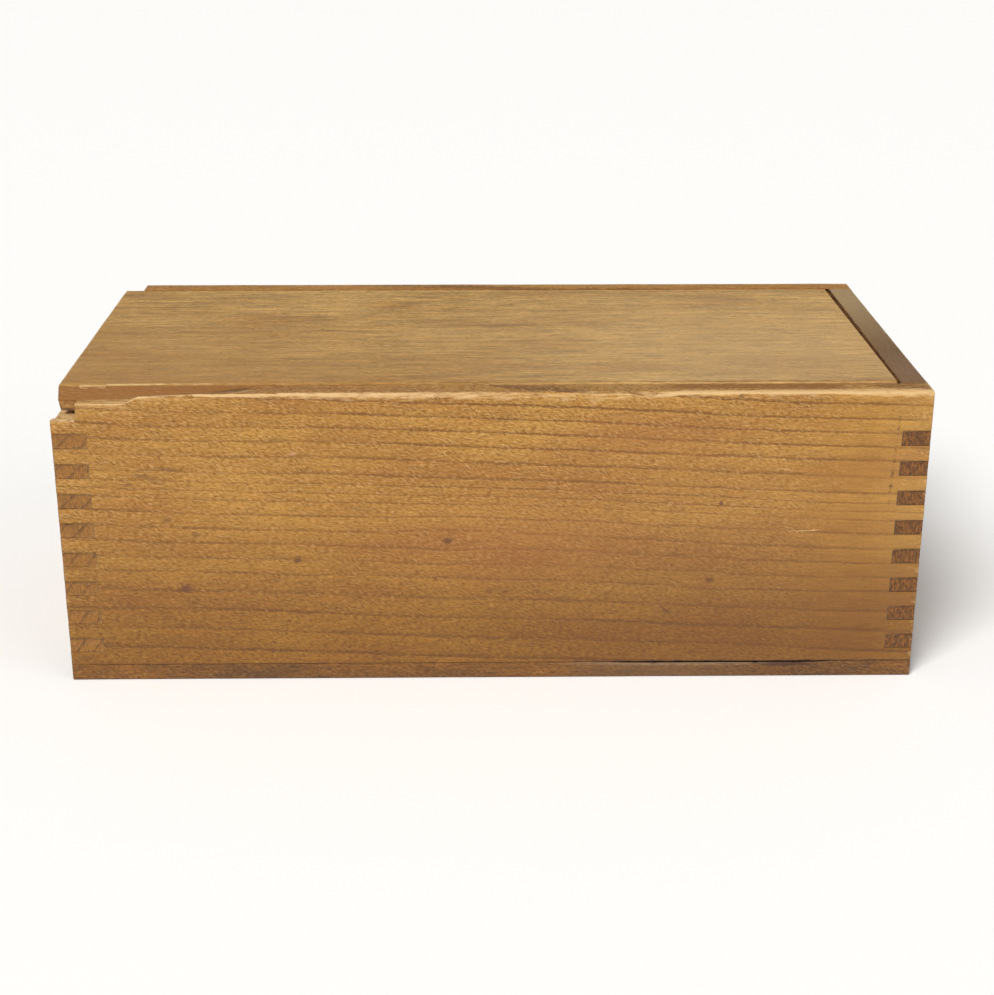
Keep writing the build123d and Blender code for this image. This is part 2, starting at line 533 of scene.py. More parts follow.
        # Painted shade, partly patina: darker and redder toward the foot.
        if self.shade_low:
            height = wood.add("SeparateXYZ", [place], out="Z")
            reach = [height, self.shade_from, self.shade_to, 0, 1]
            low = wood.add("MapRange", reach, interpolation_type="SMOOTHSTEP")
            lost = wood.add("VectorMath", {0: self.shade_low, 3: low}, operation="SCALE")
            kept = wood.add("VectorMath", [(1, 1, 1), lost], operation="SUBTRACT")
            tone = wood.add("VectorMath", [tone, kept], operation="MULTIPLY")
        return wood.add("VectorMath", {0: tone, 3: lift}, operation="SCALE")

    def _marks(self, wood: Shading, place: Socket, body: Socket) -> Socket:
        """Lay the placed knots, stains and scratches over the wood.

        Args:
            wood: the material's tree.
            place: the point in mm.
            body: the wood's colour so far.

        Returns:
            The colour.
        """
        shake = wood.add("TexNoise", {"Vector": place, "Scale": 0.9, "Detail": 2.0}, out="Color")
        shake = wood.add("VectorMath", [shake, (0.5, 0.5, 0.5)], operation="SUBTRACT")
        shaken = wood.add("VectorMath", [shake, (1.6, 0, 1.2), place], operation="MULTIPLY_ADD")
        for spot in self.spots:
            away = self._distance(wood, shaken, spot)
            reach = (1 + spot.softness / 2, 1 - spot.softness / 2)
            cover = wood.add("MapRange", [away, *reach, 0, spot.strength])
            body = wood.add("Mix", {0: cover, 6: body, 7: colour(spot.hue)}, 2, data_type="RGBA")
        line = self.gauge_line
        if line:
            away = self._distance(wood, shaken, line)
            cover = wood.add("MapRange", [away, 1.0, 0.5, 0, line.strength])
            dash = self._pattern(wood, shaken, self.DASH, detail=1.0, shift=12)
            dashed = wood.add("MapRange", [dash, 0.44, 0.58, 0.1, 1])
            cover = wood.add("Math", [cover, dashed], operation="MULTIPLY")
            body = wood.add("Mix", {0: cover, 6: body, 7: colour(line.hue)}, 2, data_type="RGBA")
        return body

    def _end_mask(self, wood: Shading) -> Socket:
        """Tell the sawn ends from the other faces.

        Args:
            wood: the material's tree.

        Returns:
            1 where the surface cuts the grain across, and 0 where it runs along it.
        """
        facing = wood.add("TexCoord", out="Normal")
        grain = (1, 0, 0) if self.grain is Axis.X else (0, 1, 0)
        along = wood.add("VectorMath", [facing, grain], operation="DOT_PRODUCT", out="Value")
        along = wood.add("Math", [along], operation="ABSOLUTE")
        return wood.add("MapRange", [along, 0.55, 0.85, 0, 1], interpolation_type="SMOOTHSTEP")

    def _end_grain(
        self, wood: Shading, place: Socket, body: Socket, late: Socket, ends: Socket
    ) -> Socket:
        """Darken the sawn ends, which drink the varnish, and speckle them with open pores.

        Args:
            wood: the material's tree.
            place: the point in mm.
            body: the wood's colour so far.
            late: the late line.
            ends: where the surface is a sawn end.

        Returns:
            The colour.
        """
        pores = wood.add("TexVoronoi", {"Vector": place, "Scale": self.END_PORES})
        pore = wood.add("MapRange", [pores, 0.12, 0.34, self.pore_strength, 0])
        streak = self._pattern(wood, place, self.END_STREAK, detail=3.0, shift=14)
        reach = (1 - 0.55 * self.end_contrast, 1 + 0.5 * self.end_contrast)
        streak = wood.add("MapRange", [streak, 0.34, 0.66, *reach])
        ring = wood.add("Math", [late, 0.5], operation="MULTIPLY")
        dark = wood.add("Math", [pore, ring], operation="MAXIMUM")
        sawn = colour(self.end_grain)[:3]
        tone = wood.add("VectorMath", {0: sawn, 3: streak}, operation="SCALE")
        tone = wood.add("Mix", {0: dark, 6: tone, 7: colour(self.grime_and_shade)}, 2, data_type="RGBA")
        return wood.add("Mix", {0: ends, 6: body, 7: tone}, 2, data_type="RGBA")

    def _use(self, wood: Shading, place: Socket, body: Socket) -> tuple[Socket, Socket]:
        """Show the years of use and painted light: unvarnished insides, pale rubbed edges with
        painted highlight, and stain and dirt with painted shade in corners, gaps and grooves.

        Args:
            wood: the material's tree.
            place: the point in mm.
            body: the wood's colour so far.

        Returns:
            The colour, and how bare the wood is, from 0 to 1.
        """
        grainy = self._pattern(wood, place, self.RUB_GRAIN, detail=3.0, shift=16)
        uneven = wood.add("Math", [grainy, 1.6, -0.8], operation="MULTIPLY_ADD")
        hues = (self.raw, self.stain_and_shade, self.grime_and_shade, self.bare_and_highlight)
        masks = {}
        for (kind, strength), hue in zip(self.USE_COVER.items(), hues):
            mark = wood.add("Attribute", out="Fac", attribute_name=kind)
            broken = wood.add("Math", [mark, uneven], operation="ADD")
            cover = wood.add("MapRange", [broken, 0.2, 0.8, 0, strength])
            present = wood.add("Math", [mark, 6.0], operation="MULTIPLY", use_clamp=True)
            cover = wood.add("Math", [cover, present], operation="MULTIPLY")
            body = wood.add("Mix", {0: cover, 6: body, 7: colour(hue)}, 2, data_type="RGBA")
            masks[kind] = cover
        bare_and_highlight = wood.add("Math", [masks["worn"], masks["inside"]], operation="MAXIMUM")
        return body, wood.add("Math", [bare_and_highlight, masks["stain_and_shade"]], operation="MAXIMUM")

    def _surface(
        self,
        wood: Shading,
        place: Socket,
        body: Socket,
        raised: tuple[Socket, Socket, Socket],
        matt: Socket,
    ) -> None:
        """Give the old varnish its satin gloss and its relief, and end the tree.

        Args:
            wood: the material's tree.
            place: the point in mm.
            body: the colour.
            raised: the late line, the long fibres and the flecks, which stand a little proud.
            matt: where there is no varnish.
        """
        blotch = self._pattern(wood, place, self.BLOTCH, shift=18)
        reach = (self.roughness - 0.07, self.roughness + 0.07)
        gloss = wood.add("MapRange", [blotch, 0.3, 0.7, *reach])
        gloss = wood.add("Math", [matt, 0.16, gloss], operation="MULTIPLY_ADD")
        late, fibre, fleck = raised
        height = wood.add("Math", [late, 0.4], operation="MULTIPLY")
        height = wood.add("Math", [fibre, 0.5, height], operation="MULTIPLY_ADD")
        height = wood.add("Math", [fleck, 0.3, height], operation="MULTIPLY_ADD")
        dents = wood.add("TexVoronoi", {"Vector": place, "Scale": self.DENTS})
        dent = wood.add("MapRange", [dents, 0.0, 0.11, -1.2, 0])
        height = wood.add("Math", [height, dent], operation="ADD")
        relief = wood.add("Bump", {"Strength": 0.8, "Distance": 0.15 * MM, "Height": height})
        varnish = {"IOR": 1.48, "Coat Weight": 0.08, "Coat Roughness": 0.3}
        inputs = {"Base Color": body, "Roughness": gloss, "Normal": relief, **varnish}
        wood.add("OutputMaterial", {"Surface": wood.add("BsdfPrincipled", inputs)})


@dataclass(frozen=True)
class RustySteel:
    """Mild steel wire nails, cut and left bare: dull dark grey heads with brown rust blooms."""

    name: str = "nail_steel"
    steel: str = "#6d6862"
    rust: str = "#5a3320"
    bloom_size: float = 0.9  # in mm

    def material(self) -> bpy.types.Material:
        """Build the nails' material.

        Returns:
            The material.
        """
        steel = Shading(self.name)
        here = steel.add("TexCoord", out="Object")
        scale = 1 / (self.bloom_size * MM)
        bloom = steel.add("TexNoise", {"Vector": here, "Scale": scale, "Detail": 4.0})
        rusty = steel.add("MapRange", [bloom, 0.42, 0.6, 0, 1])
        inputs = {0: rusty, 6: colour(self.steel), 7: colour(self.rust)}
        tone = steel.add("Mix", inputs, 2, data_type="RGBA")
        gloss = steel.add("MapRange", [rusty, 0, 1, 0.42, 0.85])
        metal = steel.add("MapRange", [rusty, 0, 1, 1, 0])
        inputs = {"Base Color": tone, "Roughness": gloss, "Metallic": metal}
        shader = steel.add("BsdfPrincipled", inputs)
        steel.add("OutputMaterial", {"Surface": shader})
        return steel.material


class Workpiece:
    """A board on the bench: a mesh in millimetres, with the work that shapes it."""

    MARKS = ("worn", "dirt_and_shade", "stain_and_shade", "inside")
    SQUARE = math.radians(30)  # edges that turn by more than this count as square
    CRISP = math.radians(38)  # edges that turn by more than this are shaded crisp

    def __init__(self) -> None:
        """Start an empty mesh with a layer for each kind of mark."""
        self.bm = bmesh.new()
        self.marks = {mark: self.bm.verts.layers.float.new(mark) for mark in self.MARKS}

    def prism(self, section: Sequence[Sequence[float]], start: float, end: float) -> None:
        """Make the board from its section across X.

        Args:
            section: the section's corners as Y and Z.
            start: the X of one end.
            end: the X of the other end.
        """
        corners = [self.bm.verts.new((start, y, z)) for y, z in section]
        self._pull([self.bm.faces.new(corners)], Vector((end - start, 0, 0)))
        bmesh.ops.recalc_face_normals(self.bm, faces=self.bm.faces[:])

    def block(self, low: Vector, high: Vector) -> None:
        """Make the board as a block between two corners."""
        place = Matrix.Translation((low + high) / 2) @ Matrix.Diagonal((*(high - low), 1))
        bmesh.ops.create_cube(self.bm, size=1.0, matrix=place)

    def saw(self, axis: Axis, places: Iterable[float]) -> None:
        """Divide the mesh by planes square to an axis.

        Args:
            axis: the axis.
            places: where the planes cross it.
        """
        across = Vector([float(axis.value == i) for i in range(3)])
        for place in sorted(set(places)):
            bmesh.ops.bisect_plane(
                self.bm,
                geom=[*self.bm.verts, *self.bm.edges, *self.bm.faces],
                dist=HAIR / 2,
                plane_co=across * place,
                plane_no=across,
            )

    def faces(self, wanted: Choice) -> list[Face]:
        """List the faces whose middle and normal are as wanted."""
        return [f for f in self.bm.faces if wanted(f.calc_center_median(), f.normal)]

    def _pull(self, faces: list[Face], by: Vector) -> None:
        """Extrude faces as one region and move the copy away from them.

        Args:
            faces: the faces.
            by: how far the copy moves.
        """
        made = bmesh.ops.extrude_face_region(self.bm, geom=faces)["geom"]
        moved = [part for part in made if isinstance(part, Vert)]
        bmesh.ops.translate(self.bm, vec=by, verts=moved)

    def lengthen(self, faces: list[Face], by: Vector) -> None:
        """Move faces of the closed board as one region, with new sides behind them."""
        self._pull(faces, by)
        bmesh.ops.delete(self.bm, geom=faces, context="FACES")

    def ease(self, width: float, wanted: Choice) -> None:
        """Take the sharpness off the square outward edges.

        Args:
            width: how much of the faces beside an edge goes.
            wanted: tells from an edge's two ends whether it is eased.
        """
        edges = [
            edge
            for edge in self.bm.edges
            if len(edge.link_faces) == 2
            and edge.is_convex
            and edge.calc_face_angle(0) > self.SQUARE
            and wanted(edge.verts[0].co, edge.verts[1].co)
        ]
        bmesh.ops.bevel(
            self.bm,
            geom=edges,
            offset=width,
            segments=2,
            profile=0.5,
            affect="EDGES",
            material=-1,
            clamp_overlap=True,
        )

    def mark(self, vert: Vert, kind: str, strength: float) -> None:
        """Raise a vertex's mark to a strength, if it isn't as strong yet."""
        layer = self.marks[kind]
        vert[layer] = max(vert[layer], min(1.0, strength))

    def finish(
        self, name: str, look: Softwood, body: str, node: str, slot: str
    ) -> bpy.types.Object:
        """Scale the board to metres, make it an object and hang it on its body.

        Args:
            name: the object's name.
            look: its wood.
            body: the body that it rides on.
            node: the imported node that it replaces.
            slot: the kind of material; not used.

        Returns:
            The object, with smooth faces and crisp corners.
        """
        bmesh.ops.remove_doubles(self.bm, verts=self.bm.verts[:], dist=HAIR / 50)
        bmesh.ops.recalc_face_normals(self.bm, faces=self.bm.faces[:])
        bmesh.ops.scale(self.bm, vec=(MM, MM, MM), verts=self.bm.verts[:])
        mesh = bpy.data.meshes.new(name)
        self.bm.to_mesh(mesh)
        self.bm.free()
        mesh.shade_smooth()
        mesh.set_sharp_from_angle(angle=self.CRISP)
        mesh.materials.append(look.material())
        piece = bpy.data.objects.new(name, mesh)
        bpy.context.scene.collection.objects.link(piece)
        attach(piece, body)
        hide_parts(node)
        return piece


@dataclass(frozen=True)
class Joinery:
    """Sizes that the boards share, in millimetres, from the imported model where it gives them."""

    front_wall: tuple[Vector, Vector] = field(default_factory=lambda: cad_box("front_wall"))
    left_end: tuple[Vector, Vector] = field(default_factory=lambda: cad_box("left_end_wall"))
    right_end: tuple[Vector, Vector] = field(default_factory=lambda: cad_box("right_end_wall"))
    lid: tuple[Vector, Vector] = field(default_factory=lambda: cad_box("sliding_lid"))
    back: float = field(default_factory=lambda: cad_box("back_wall")[1].y)
    floor: float = field(default_factory=lambda: cad_box("bottom_board")[1].z)
    seat_gap: float = 0.1  # under the lid
    side_gap: float = 0.3  # beside the lid
    web: float = 5.1  # wood between the groove and the outer face
    lip: float = 8.9  # width of the lip's flat top
    lip_rise: float = 3.5  # height of the lip's slanted face
    notch: float = 8.0  # length of the corner notch
    finger: float = 4.8  # height of a finger
    finger_pitch: float = 10.0
    finger_count: int = 8
    finger_drop: float = 13.0  # from the top of the box to the top of the highest finger
    glue: float = 0.1  # gap above and below a finger

    @property
    def front(self) -> float:
        """Y of the box's front face."""
        return self.front_wall[0].y

    @property
    def wall(self) -> float:
        """Thickness of a long wall."""
        return self.front_wall[1].y - self.front_wall[0].y

    @property
    def top(self) -> float:
        """Height of the box."""
        return self.front_wall[1].z

    @property
    def left(self) -> float:
        """X of the box's left face."""
        return self.left_end[0].x

    @property
    def left_inner(self) -> float:
        """X of the left end wall's inner face."""
        return self.left_end[1].x

    @property
    def left_top(self) -> float:
        """Height of the left end wall, which the lid passes over."""
        return self.left_end[1].z

    @property
    def right(self) -> float:
        """X of the box's right face."""
        return self.right_end[1].x

    @property
    def right_inner(self) -> float:
        """X of the right end wall's inner face."""
        return self.right_end[0].x

    @property
    def groove(self) -> float:
        """Height of the groove's floor."""
        return self.lid[0].z - self.seat_gap

    @property
    def lip_foot(self) -> float:
        """Height where the lip's slanted face begins."""
        return self.top - self.lip_rise

    def finger_bands(self, slack: float = 0.0) -> list[Place]:
        """List the low and high Z of each finger.

        Args:
            slack: how much wider each band is on both sides.

        Returns:
            The bands, from the highest down.
        """
        highest = self.top - self.finger_drop
        highs = [highest - i * self.finger_pitch for i in range(self.finger_count)]
        return [(high - self.finger - slack, high + slack) for high in highs]

    def in_finger(self, z: float) -> bool:
        """Tell whether a height lies in a finger's band."""
        return any(low < z < high for low, high in self.finger_bands(self.glue))

    def clear_of_fingers(self, heights: list[float], slack: float, room: float) -> list[float]:
        """Leave out the heights that lie too close to a finger's edge.

        Args:
            heights: the heights.
            slack: how much wider the fingers' bands are.
            room: how close is too close.

        Returns:
            The heights that are left.
        """
        edges = sum(self.finger_bands(slack), ())
        return [height for height in heights if all(abs(height - edge) > room for edge in edges)]

    def on_outer_edge(self, a: Vector, b: Vector, *levels: float) -> bool:
        """Tell whether an edge is one of the box's own outer edges, which sanding rounds.

        Args:
            a: one end of the edge.
            b: its other end.
            *levels: the heights of the outer faces that look up.

        Returns:
            Whether the edge lies in two of the outer faces.
        """
        faces = [(1, self.front), (1, self.back), (0, self.left), (0, self.right)]
        faces += [(2, level) for level in levels]
        shared = [abs(a[i] - place) < HAIR and abs(b[i] - place) < HAIR for i, place in faces]
        return sum(shared) > 1


@dataclass(frozen=True)
class Sanding:
    """How the maker's sanding and years of use have rounded the box's outer edges, in mm."""

    joinery: Joinery
    top_front: Place = (0.8, 1.6)  # radius at the left and at the right end
    top_back: float = 1.3
    top_right: float = 0.5
    top_left: float = 3.0  # beside the notches, where the end wall is rubbed most
    ledge_front: float = 0.8
    ledge_corner: float = 0.4
    upright: float = 0.5
    foot: float = 0.7
    hollow: float = 0.07  # how far the faces wander inwards
    upright_rub: float = 0.3  # how pale each kind of edge is rubbed, from 0 to 1
    notch_rub: float = 0.25
    front_rub: float = 0.35
    back_rub: float = 0.6
    ledge_rub: float = 0.5
    end_rub: float = 0.45
    end_ledge_rub: float = 0.4
    foot_rub: float = 0.15
    cuts: tuple[float, ...] = (0.25, 0.65, 1.2, 1.9, 2.8)  # mesh lines beside a rounded edge

    def beside(self, edge: float, inwards: float) -> list[float]:
        """List the places of the mesh lines beside an outer edge."""
        return [edge + inwards * cut for cut in self.cuts]

    def soften(self, point: Vector, top: float) -> tuple[Vector, float]:
        """Round a point of the outside and say how rubbed it is.

        Args:
            point: the point on the square board.
            top: the height of the board's top above or below it.

        Returns:
            The point after sanding, and its wear from 0 to 1.
        """
        j = self.joinery
        uneven = 1 + 0.22 * rough(point.x / 21, point.y / 17, point.z / 13)
        front_half = point.y - j.front <= j.back - point.y
        long_way = (point.x - j.left) / (j.right - j.left)
        beside = min(point.y - j.front, j.back - point.y)
        on_ledge = top < j.lip_foot - HAIR
        near = {
            "side": beside,
            "left": point.x - j.left,
            "right": j.right - point.x,
            "top": top - point.z,
            "foot": point.z,
        }
        upright, ledge = self.upright, 0.0
        if on_ledge:
            upright = blend(self.upright, self.ledge_corner, (point.z - top + 7) / 2)
            ledge = blend(self.ledge_corner, self.top_left, (beside - 1.5) / 2.5)
            ledge = blend(ledge, self.top_left / 2, (beside - 12) / 20)
        along = max(0.0, long_way)
        top_radius, top_rub = blend(*self.top_front, along**1.3), self.front_rub
        if not front_half:
            top_radius, top_rub = self.top_back, self.back_rub
        elif on_ledge:
            top_radius, top_rub = self.ledge_front, self.ledge_rub

        worn = 0.0
        edges = (
            ("side", "left", upright, self.notch_rub),
            ("side", "right", self.upright, self.upright_rub),
            ("top", "right", self.top_right, self.end_rub),
            ("top", "left", ledge, self.end_ledge_rub),
            ("side", "top", top_radius, top_rub),
            ("side", "foot", self.foot, self.foot_rub),
            ("left", "foot", self.foot, self.foot_rub),
            ("right", "foot", self.foot, self.foot_rub),
        )
        for one, other, radius, rub_and_light in edges:
            if radius > 0:
                radius *= uneven
                away = math.hypot(max(near[one], 0), max(near[other], 0))
                worn = max(worn, rub_and_light * (1 - away / (1.4 + 1.5 * radius)))
                near[one], near[other] = onto_arc(near[one], near[other], radius)

        dip = self.hollow * (0.55 + 0.45 * rough(point.x / 33, point.y / 29, point.z / 19))
        for face in ("side", "left", "right", "top"):
            distance = abs(near[face]) if face == "top" else near[face]
            near[face] += dip * max(0.0, 1 - distance)
        y = j.front + near["side"] if front_half else j.back - near["side"]
        x = j.left + near["left"] if long_way < 0.5 else j.right - near["right"]
        z = top - near["top"] if abs(top - point.z) < point.z else near["foot"]
        return Vector((x, y, z)), worn


@dataclass(frozen=True)
class EdgeWearAndLight:
    """How pale and how brown a long wall's top edge is at a place along the wall, in mm.

    The pale is rubbed wood with painted highlight on the rounded edge, and the brown is old
    varnish with painted shade where the lip meets the lid.
    """

    place: float
    below: float  # reach of the pale band on the outer face
    behind: float  # reach of the pale band on the top
    strength: float
    brown: float  # strength of the brown on the top: stain, and painted shade beside the lid

    def toward(self, other: "EdgeWearAndLight", share: float) -> "EdgeWearAndLight":
        """Give the wear and painted light at a share of the way to the next place."""
        ends = zip(astuple(self), astuple(other))
        return EdgeWearAndLight(*(blend(here, there, share) for here, there in ends))


@dataclass
class LongWall:
    """The front or the back wall: grooved for the lid, with finger sockets at both ends."""

    side: Side
    joinery: Joinery
    sanding: Sanding
    finish: Softwood
    broken: bool = False  # whether the lip has broken away beside the left notch
    break_depth: float = 3.35
    break_floor_end: float = 23.5  # these three from the box's left face
    break_step_end: float = 28.5
    break_end: float = 46.0
    step_depth: float = 0.8
    dished: float = 1.9  # how much deeper the torn place is behind its outer rim
    edge_wear_and_light: tuple[EdgeWearAndLight, ...] = (EdgeWearAndLight(-200, 1.2, 1.2, 0.6, 0.4), EdgeWearAndLight(200, 1.2, 1.2, 0.6, 0.4))
    corner: float = 0.9  # radius of the upright corner beside the notch
    coarse: float = 1.3  # spacing of the mesh lines along the wall
    fine: float = 0.6  # the same along the break
    across: float = 0.55  # the same across the break
    upwards: float = 2.5  # the same up the wall

    @property
    def node(self) -> str:
        """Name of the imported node."""
        return f"{self.side.name.lower()}_wall"

    def inner_at(self, z: float) -> float:
        """Give the width of the wall above the groove at a height."""
        j = self.joinery
        return j.web + (j.lip - j.web) * blend(0, 1, (z - j.lip_foot) / j.lip_rise)

    def top_at(self, x: float, y: float) -> float:
        """Give the height of the wall's top, torn fibres and all.

        Args:
            x: the place along the wall.
            y: the place across it.

        Returns:
            The height.
        """
        j = self.joinery
        if x < j.left + j.notch - HAIR:
            return j.left_top
        if not self.broken:
            return j.top
        inwards = abs(j.front) - abs(y)
        along = x - j.left + 1.6 * rough(y / 1.6, 4.0) + 0.35 * inwards
        if along <= self.break_step_end:
            share = (along - self.break_floor_end) / (self.break_step_end - self.break_floor_end)
            depth = blend(self.break_depth, self.step_depth, share)
        else:
            share = (along - self.break_step_end) / (self.break_end - self.break_step_end)
            depth = blend(self.step_depth, 0, share) ** 1.5
        dished = blend(self.dished, 0, (along - self.break_end) / 25) * blend(0, 1, inwards / 7)
        depth = min(self.break_depth, depth + dished)
        splinter = 0.22 * rough(x / 11, y / 0.9) + 0.10 * rough(x / 2.3, y / 0.45, 3.0)
        return j.top - max(0.0, depth - min(1.0, depth) * max(splinter, -0.1))

    def edge_wear_and_light_at(self, x: float) -> EdgeWearAndLight:
        """Give the top edge's wear and painted light.

        Args:
            x: the place along the wall.

        Returns:
            The wear and painted light there.
        """
        for here, after in zip(self.edge_wear_and_light, self.edge_wear_and_light[1:]):
            if x <= after.place:
                return here.toward(after, (x - here.place) / (after.place - here.place))
        return self.edge_wear_and_light[-1]

    def build(self) -> bpy.types.Object:
        """Model the wall, dress it and hang it on the box.

        Returns:
            The wall.
        """
        j, way = self.joinery, self.side.value
        outer = way * abs(j.front)
        piece = Workpiece()
        section = [
            (outer, j.floor),
            (outer - way * j.wall, j.floor),
            (outer - way * j.wall, j.groove),
            (outer - way * j.web, j.groove),
            (outer - way * j.web, j.lip_foot),
            (outer - way * j.lip, j.top),
            (outer, j.top),
        ]
        piece.prism(section, j.left_inner, j.right_inner)
        piece.saw(Axis.Z, [*sum(j.finger_bands(j.glue), ()), j.left_top])
        self._cut_joints(piece)
        piece.ease(0.35, lambda a, b: self._on_lip_tip(a) and self._on_lip_tip(b))
        piece.ease(
            0.16,
            lambda a, b: not (j.on_outer_edge(a, b, j.top, j.left_top) or self._on_lip_tip(a)),
        )
        self._divide(piece, outer)
        for vert in piece.bm.verts:
            self._wear(piece, vert)
        return piece.finish(f"{self.node}_board", self.finish, "box", self.node, "wall_pine")

    def _cut_joints(self, piece: Workpiece) -> None:
        """Lengthen the ends between the sockets, and leave the notch open.

        Args:
            piece: the wall.
        """
        j = self.joinery
        reach = j.left + j.notch
        right = piece.faces(lambda c, n: n.x > 0.9 and not j.in_finger(c.z))
        piece.lengthen(right, Vector((j.right - j.right_inner, 0, 0)))
        left = piece.faces(lambda c, n: n.x < -0.9 and not j.in_finger(c.z))
        piece.lengthen(left, Vector((reach - j.left_inner, 0, 0)))
        below = piece.faces(
            lambda c, n: n.x < -0.9 and abs(c.x - reach) < HAIR and c.z < j.left_top
        )
        piece.lengthen(below, Vector((-j.notch, 0, 0)))

    def _on_lip_tip(self, point: Vector) -> bool:
        """Tell whether a point lies on the lip's thin inner edge."""
        j = self.joinery
        return abs(point.z - j.top) < HAIR and abs(abs(point.y) - abs(j.front) + j.lip) < HAIR

    def _divide(self, piece: Workpiece, outer: float) -> None:
        """Lay the mesh lines that sanding, breaks and dents need.

        Args:
            piece: the wall.
            outer: Y of its outer face.
        """
        j, way, near = self.joinery, self.side.value, self.sanding.beside
        notch_end = j.left + j.notch
        places = near(j.left, 1) + near(j.right, -1) + near(notch_end, 1)
        start = notch_end + 3
        if self.broken:
            places += [j.left + 3.4 + self.fine * i for i in range(8)]
            fine_end = j.left + self.break_end + 6
            count = int((fine_end - start) / self.fine)
            places += [start + i * self.fine for i in range(count)]
            start = fine_end
        count = int((j.right - 3 - start) / self.coarse)
        places += [start + i * self.coarse for i in range(count)]
        piece.saw(Axis.X, places)
        piece.saw(Axis.Y, near(outer, -way))
        if self.broken:
            steps = int(j.lip / self.across)
            piece.saw(Axis.Y, [outer - way * self.across * (i + 1) for i in range(steps)])
        heights = near(j.top, -1) + near(j.left_top, -1) + [j.floor + 0.3, j.floor + 0.8]
        count = int((j.left_top - j.floor) / self.upwards) - 1
        heights += [j.floor + self.upwards * (i + 1) for i in range(count)]
        piece.saw(Axis.Z, j.clear_of_fingers(heights, j.glue, 0.3))

    def _wear(self, piece: Workpiece, vert: Vert) -> None:
        """Break, sand and mark the wall at one vertex.

        Args:
            piece: the wall.
            vert: the vertex.
        """
        j, way = self.joinery, self.side.value
        face = abs(j.front)
        point = vert.co.copy()
        depth_in = face - abs(point.y)
        top = self.top_at(point.x, point.y)
        past_notch = point.x - j.left - j.notch
        if point.z - j.lip_foot > HAIR and past_notch > -HAIR and top < j.top:
            self._tear(piece, vert, point, top)
        elif past_notch > HAIR:
            self._wear_and_light_top(piece, vert, depth_in)
        self._mark_inside(piece, vert, point.z, depth_in)
        on_ledge = point.x < j.left + j.notch and point.z > j.left_top - HAIR
        if on_ledge:
            piece.mark(vert, "worn", 0.75 + 0.6 * rough(point.x / 1.7, point.y / 1.1, 2.0))
        if past_notch > -HAIR and point.z > j.left_top + HAIR and depth_in < self.corner:
            past_notch, depth_in = onto_arc(past_notch, depth_in, self.corner)
            point.x = j.left + j.notch + past_notch
            point.y = way * (face - depth_in)
        # Darker along the front's left upright corner.
        if self.side is Side.FRONT and point.z < j.left_top - 7:
            corner = max(depth_in, point.x - j.left)
            piece.mark(vert, "dirt_and_shade", blend(0.55, 0, corner / 0.9))
        vert.co, worn = self.sanding.soften(point, max(top, j.left_top))
        piece.mark(vert, "worn", worn)
        if on_ledge:
            vert.co.z -= 0.3 * abs(rough(point.x / 1.5, point.y / 1.2, 9.0))
        # At the seam over the bottom board: stain, and dirt with painted shade, more toward the
        # right.
        if point.z < j.floor + 0.5:
            piece.mark(vert, "stain_and_shade", 0.6)
            piece.mark(vert, "dirt_and_shade", blend(0.15, 0.6, (point.x - 15) / 25))

    def _tear(self, piece: Workpiece, vert: Vert, point: Vector, top: float) -> None:
        """Lower a point above the lip's foot to the torn top, and mark the torn wood.

        Args:
            piece: the wall.
            vert: the vertex, still in its place on the whole wall.
            point: the point that is lowered.
            top: the height of the torn top there.
        """
        j = self.joinery
        face = abs(j.front)
        depth_in = face - abs(point.y)
        share = (point.z - j.lip_foot) / j.lip_rise
        width = self.inner_at(point.z)
        point.z = j.lip_foot + share * max(0.1, top - j.lip_foot)
        point.y = self.side.value * (face - depth_in * self.inner_at(point.z) / width)
        if share > 0.8:
            missing = min(1.0, 1.5 * (j.top - top))
            pale = blend(0.95, 0.1, (depth_in - 0.5) / 0.9)
            pale = max(pale, 1.2 * rough(point.x / 12, point.y / 0.7, 7.0))
            floor = blend(1, 0, (point.x - j.left - self.break_floor_end) / 4)
            piece.mark(vert, "worn", missing * max(pale, 0.45 * floor))
            piece.mark(vert, "stain_and_shade", missing * blend(0.95, 0.2, floor))

    def _wear_and_light_top(self, piece: Workpiece, vert: Vert, depth_in: float) -> None:
        """Mark the top edge: pale where hands and the lid rubbed it, with painted highlight, and
        brown toward the lid, with painted shade beside it.

        Args:
            piece: the wall.
            vert: the vertex.
            depth_in: its distance from the outer face.
        """
        top = self.joinery.top
        rub_and_light = self.edge_wear_and_light_at(vert.co.x)
        reach = math.hypot((top - vert.co.z) / rub_and_light.below, depth_in / rub_and_light.behind)
        # Pale band: rubbed wood and painted highlight along the rounded edge.
        piece.mark(vert, "worn", rub_and_light.strength * blend(1, 0, (reach - 0.6) / 0.7))
        # Brown toward the lid: old varnish and painted shade where the lip meets the lid.
        if vert.co.z > top - 0.6:
            piece.mark(vert, "stain_and_shade", rub_and_light.brown * blend(0, 1, (depth_in - 2.4) / 2.5))

    def _mark_inside(self, piece: Workpiece, vert: Vert, height: float, depth_in: float) -> None:
        """Mark the unvarnished inner face, and darken the groove with dirt and painted shade.

        Args:
            piece: the wall.
            vert: the vertex.
            height: its height on the broken wall.
            depth_in: its distance from the outer face.
        """
        j = self.joinery
        if depth_in > j.wall - 0.4 and height < j.groove + 0.3:
            piece.mark(vert, "inside", 1.0)
        # The groove: stain, with dirt and painted shade, less where the lip broke away.
        if depth_in > j.web - 0.3 and j.groove - 0.4 < height < j.top - 0.5:
            past_break = vert.co.x - j.left - self.break_end
            whole = blend(0.1, 1, past_break / 10) if self.broken else 1
            piece.mark(vert, "dirt_and_shade", 0.5 * whole)
            piece.mark(vert, "stain_and_shade", 0.6)


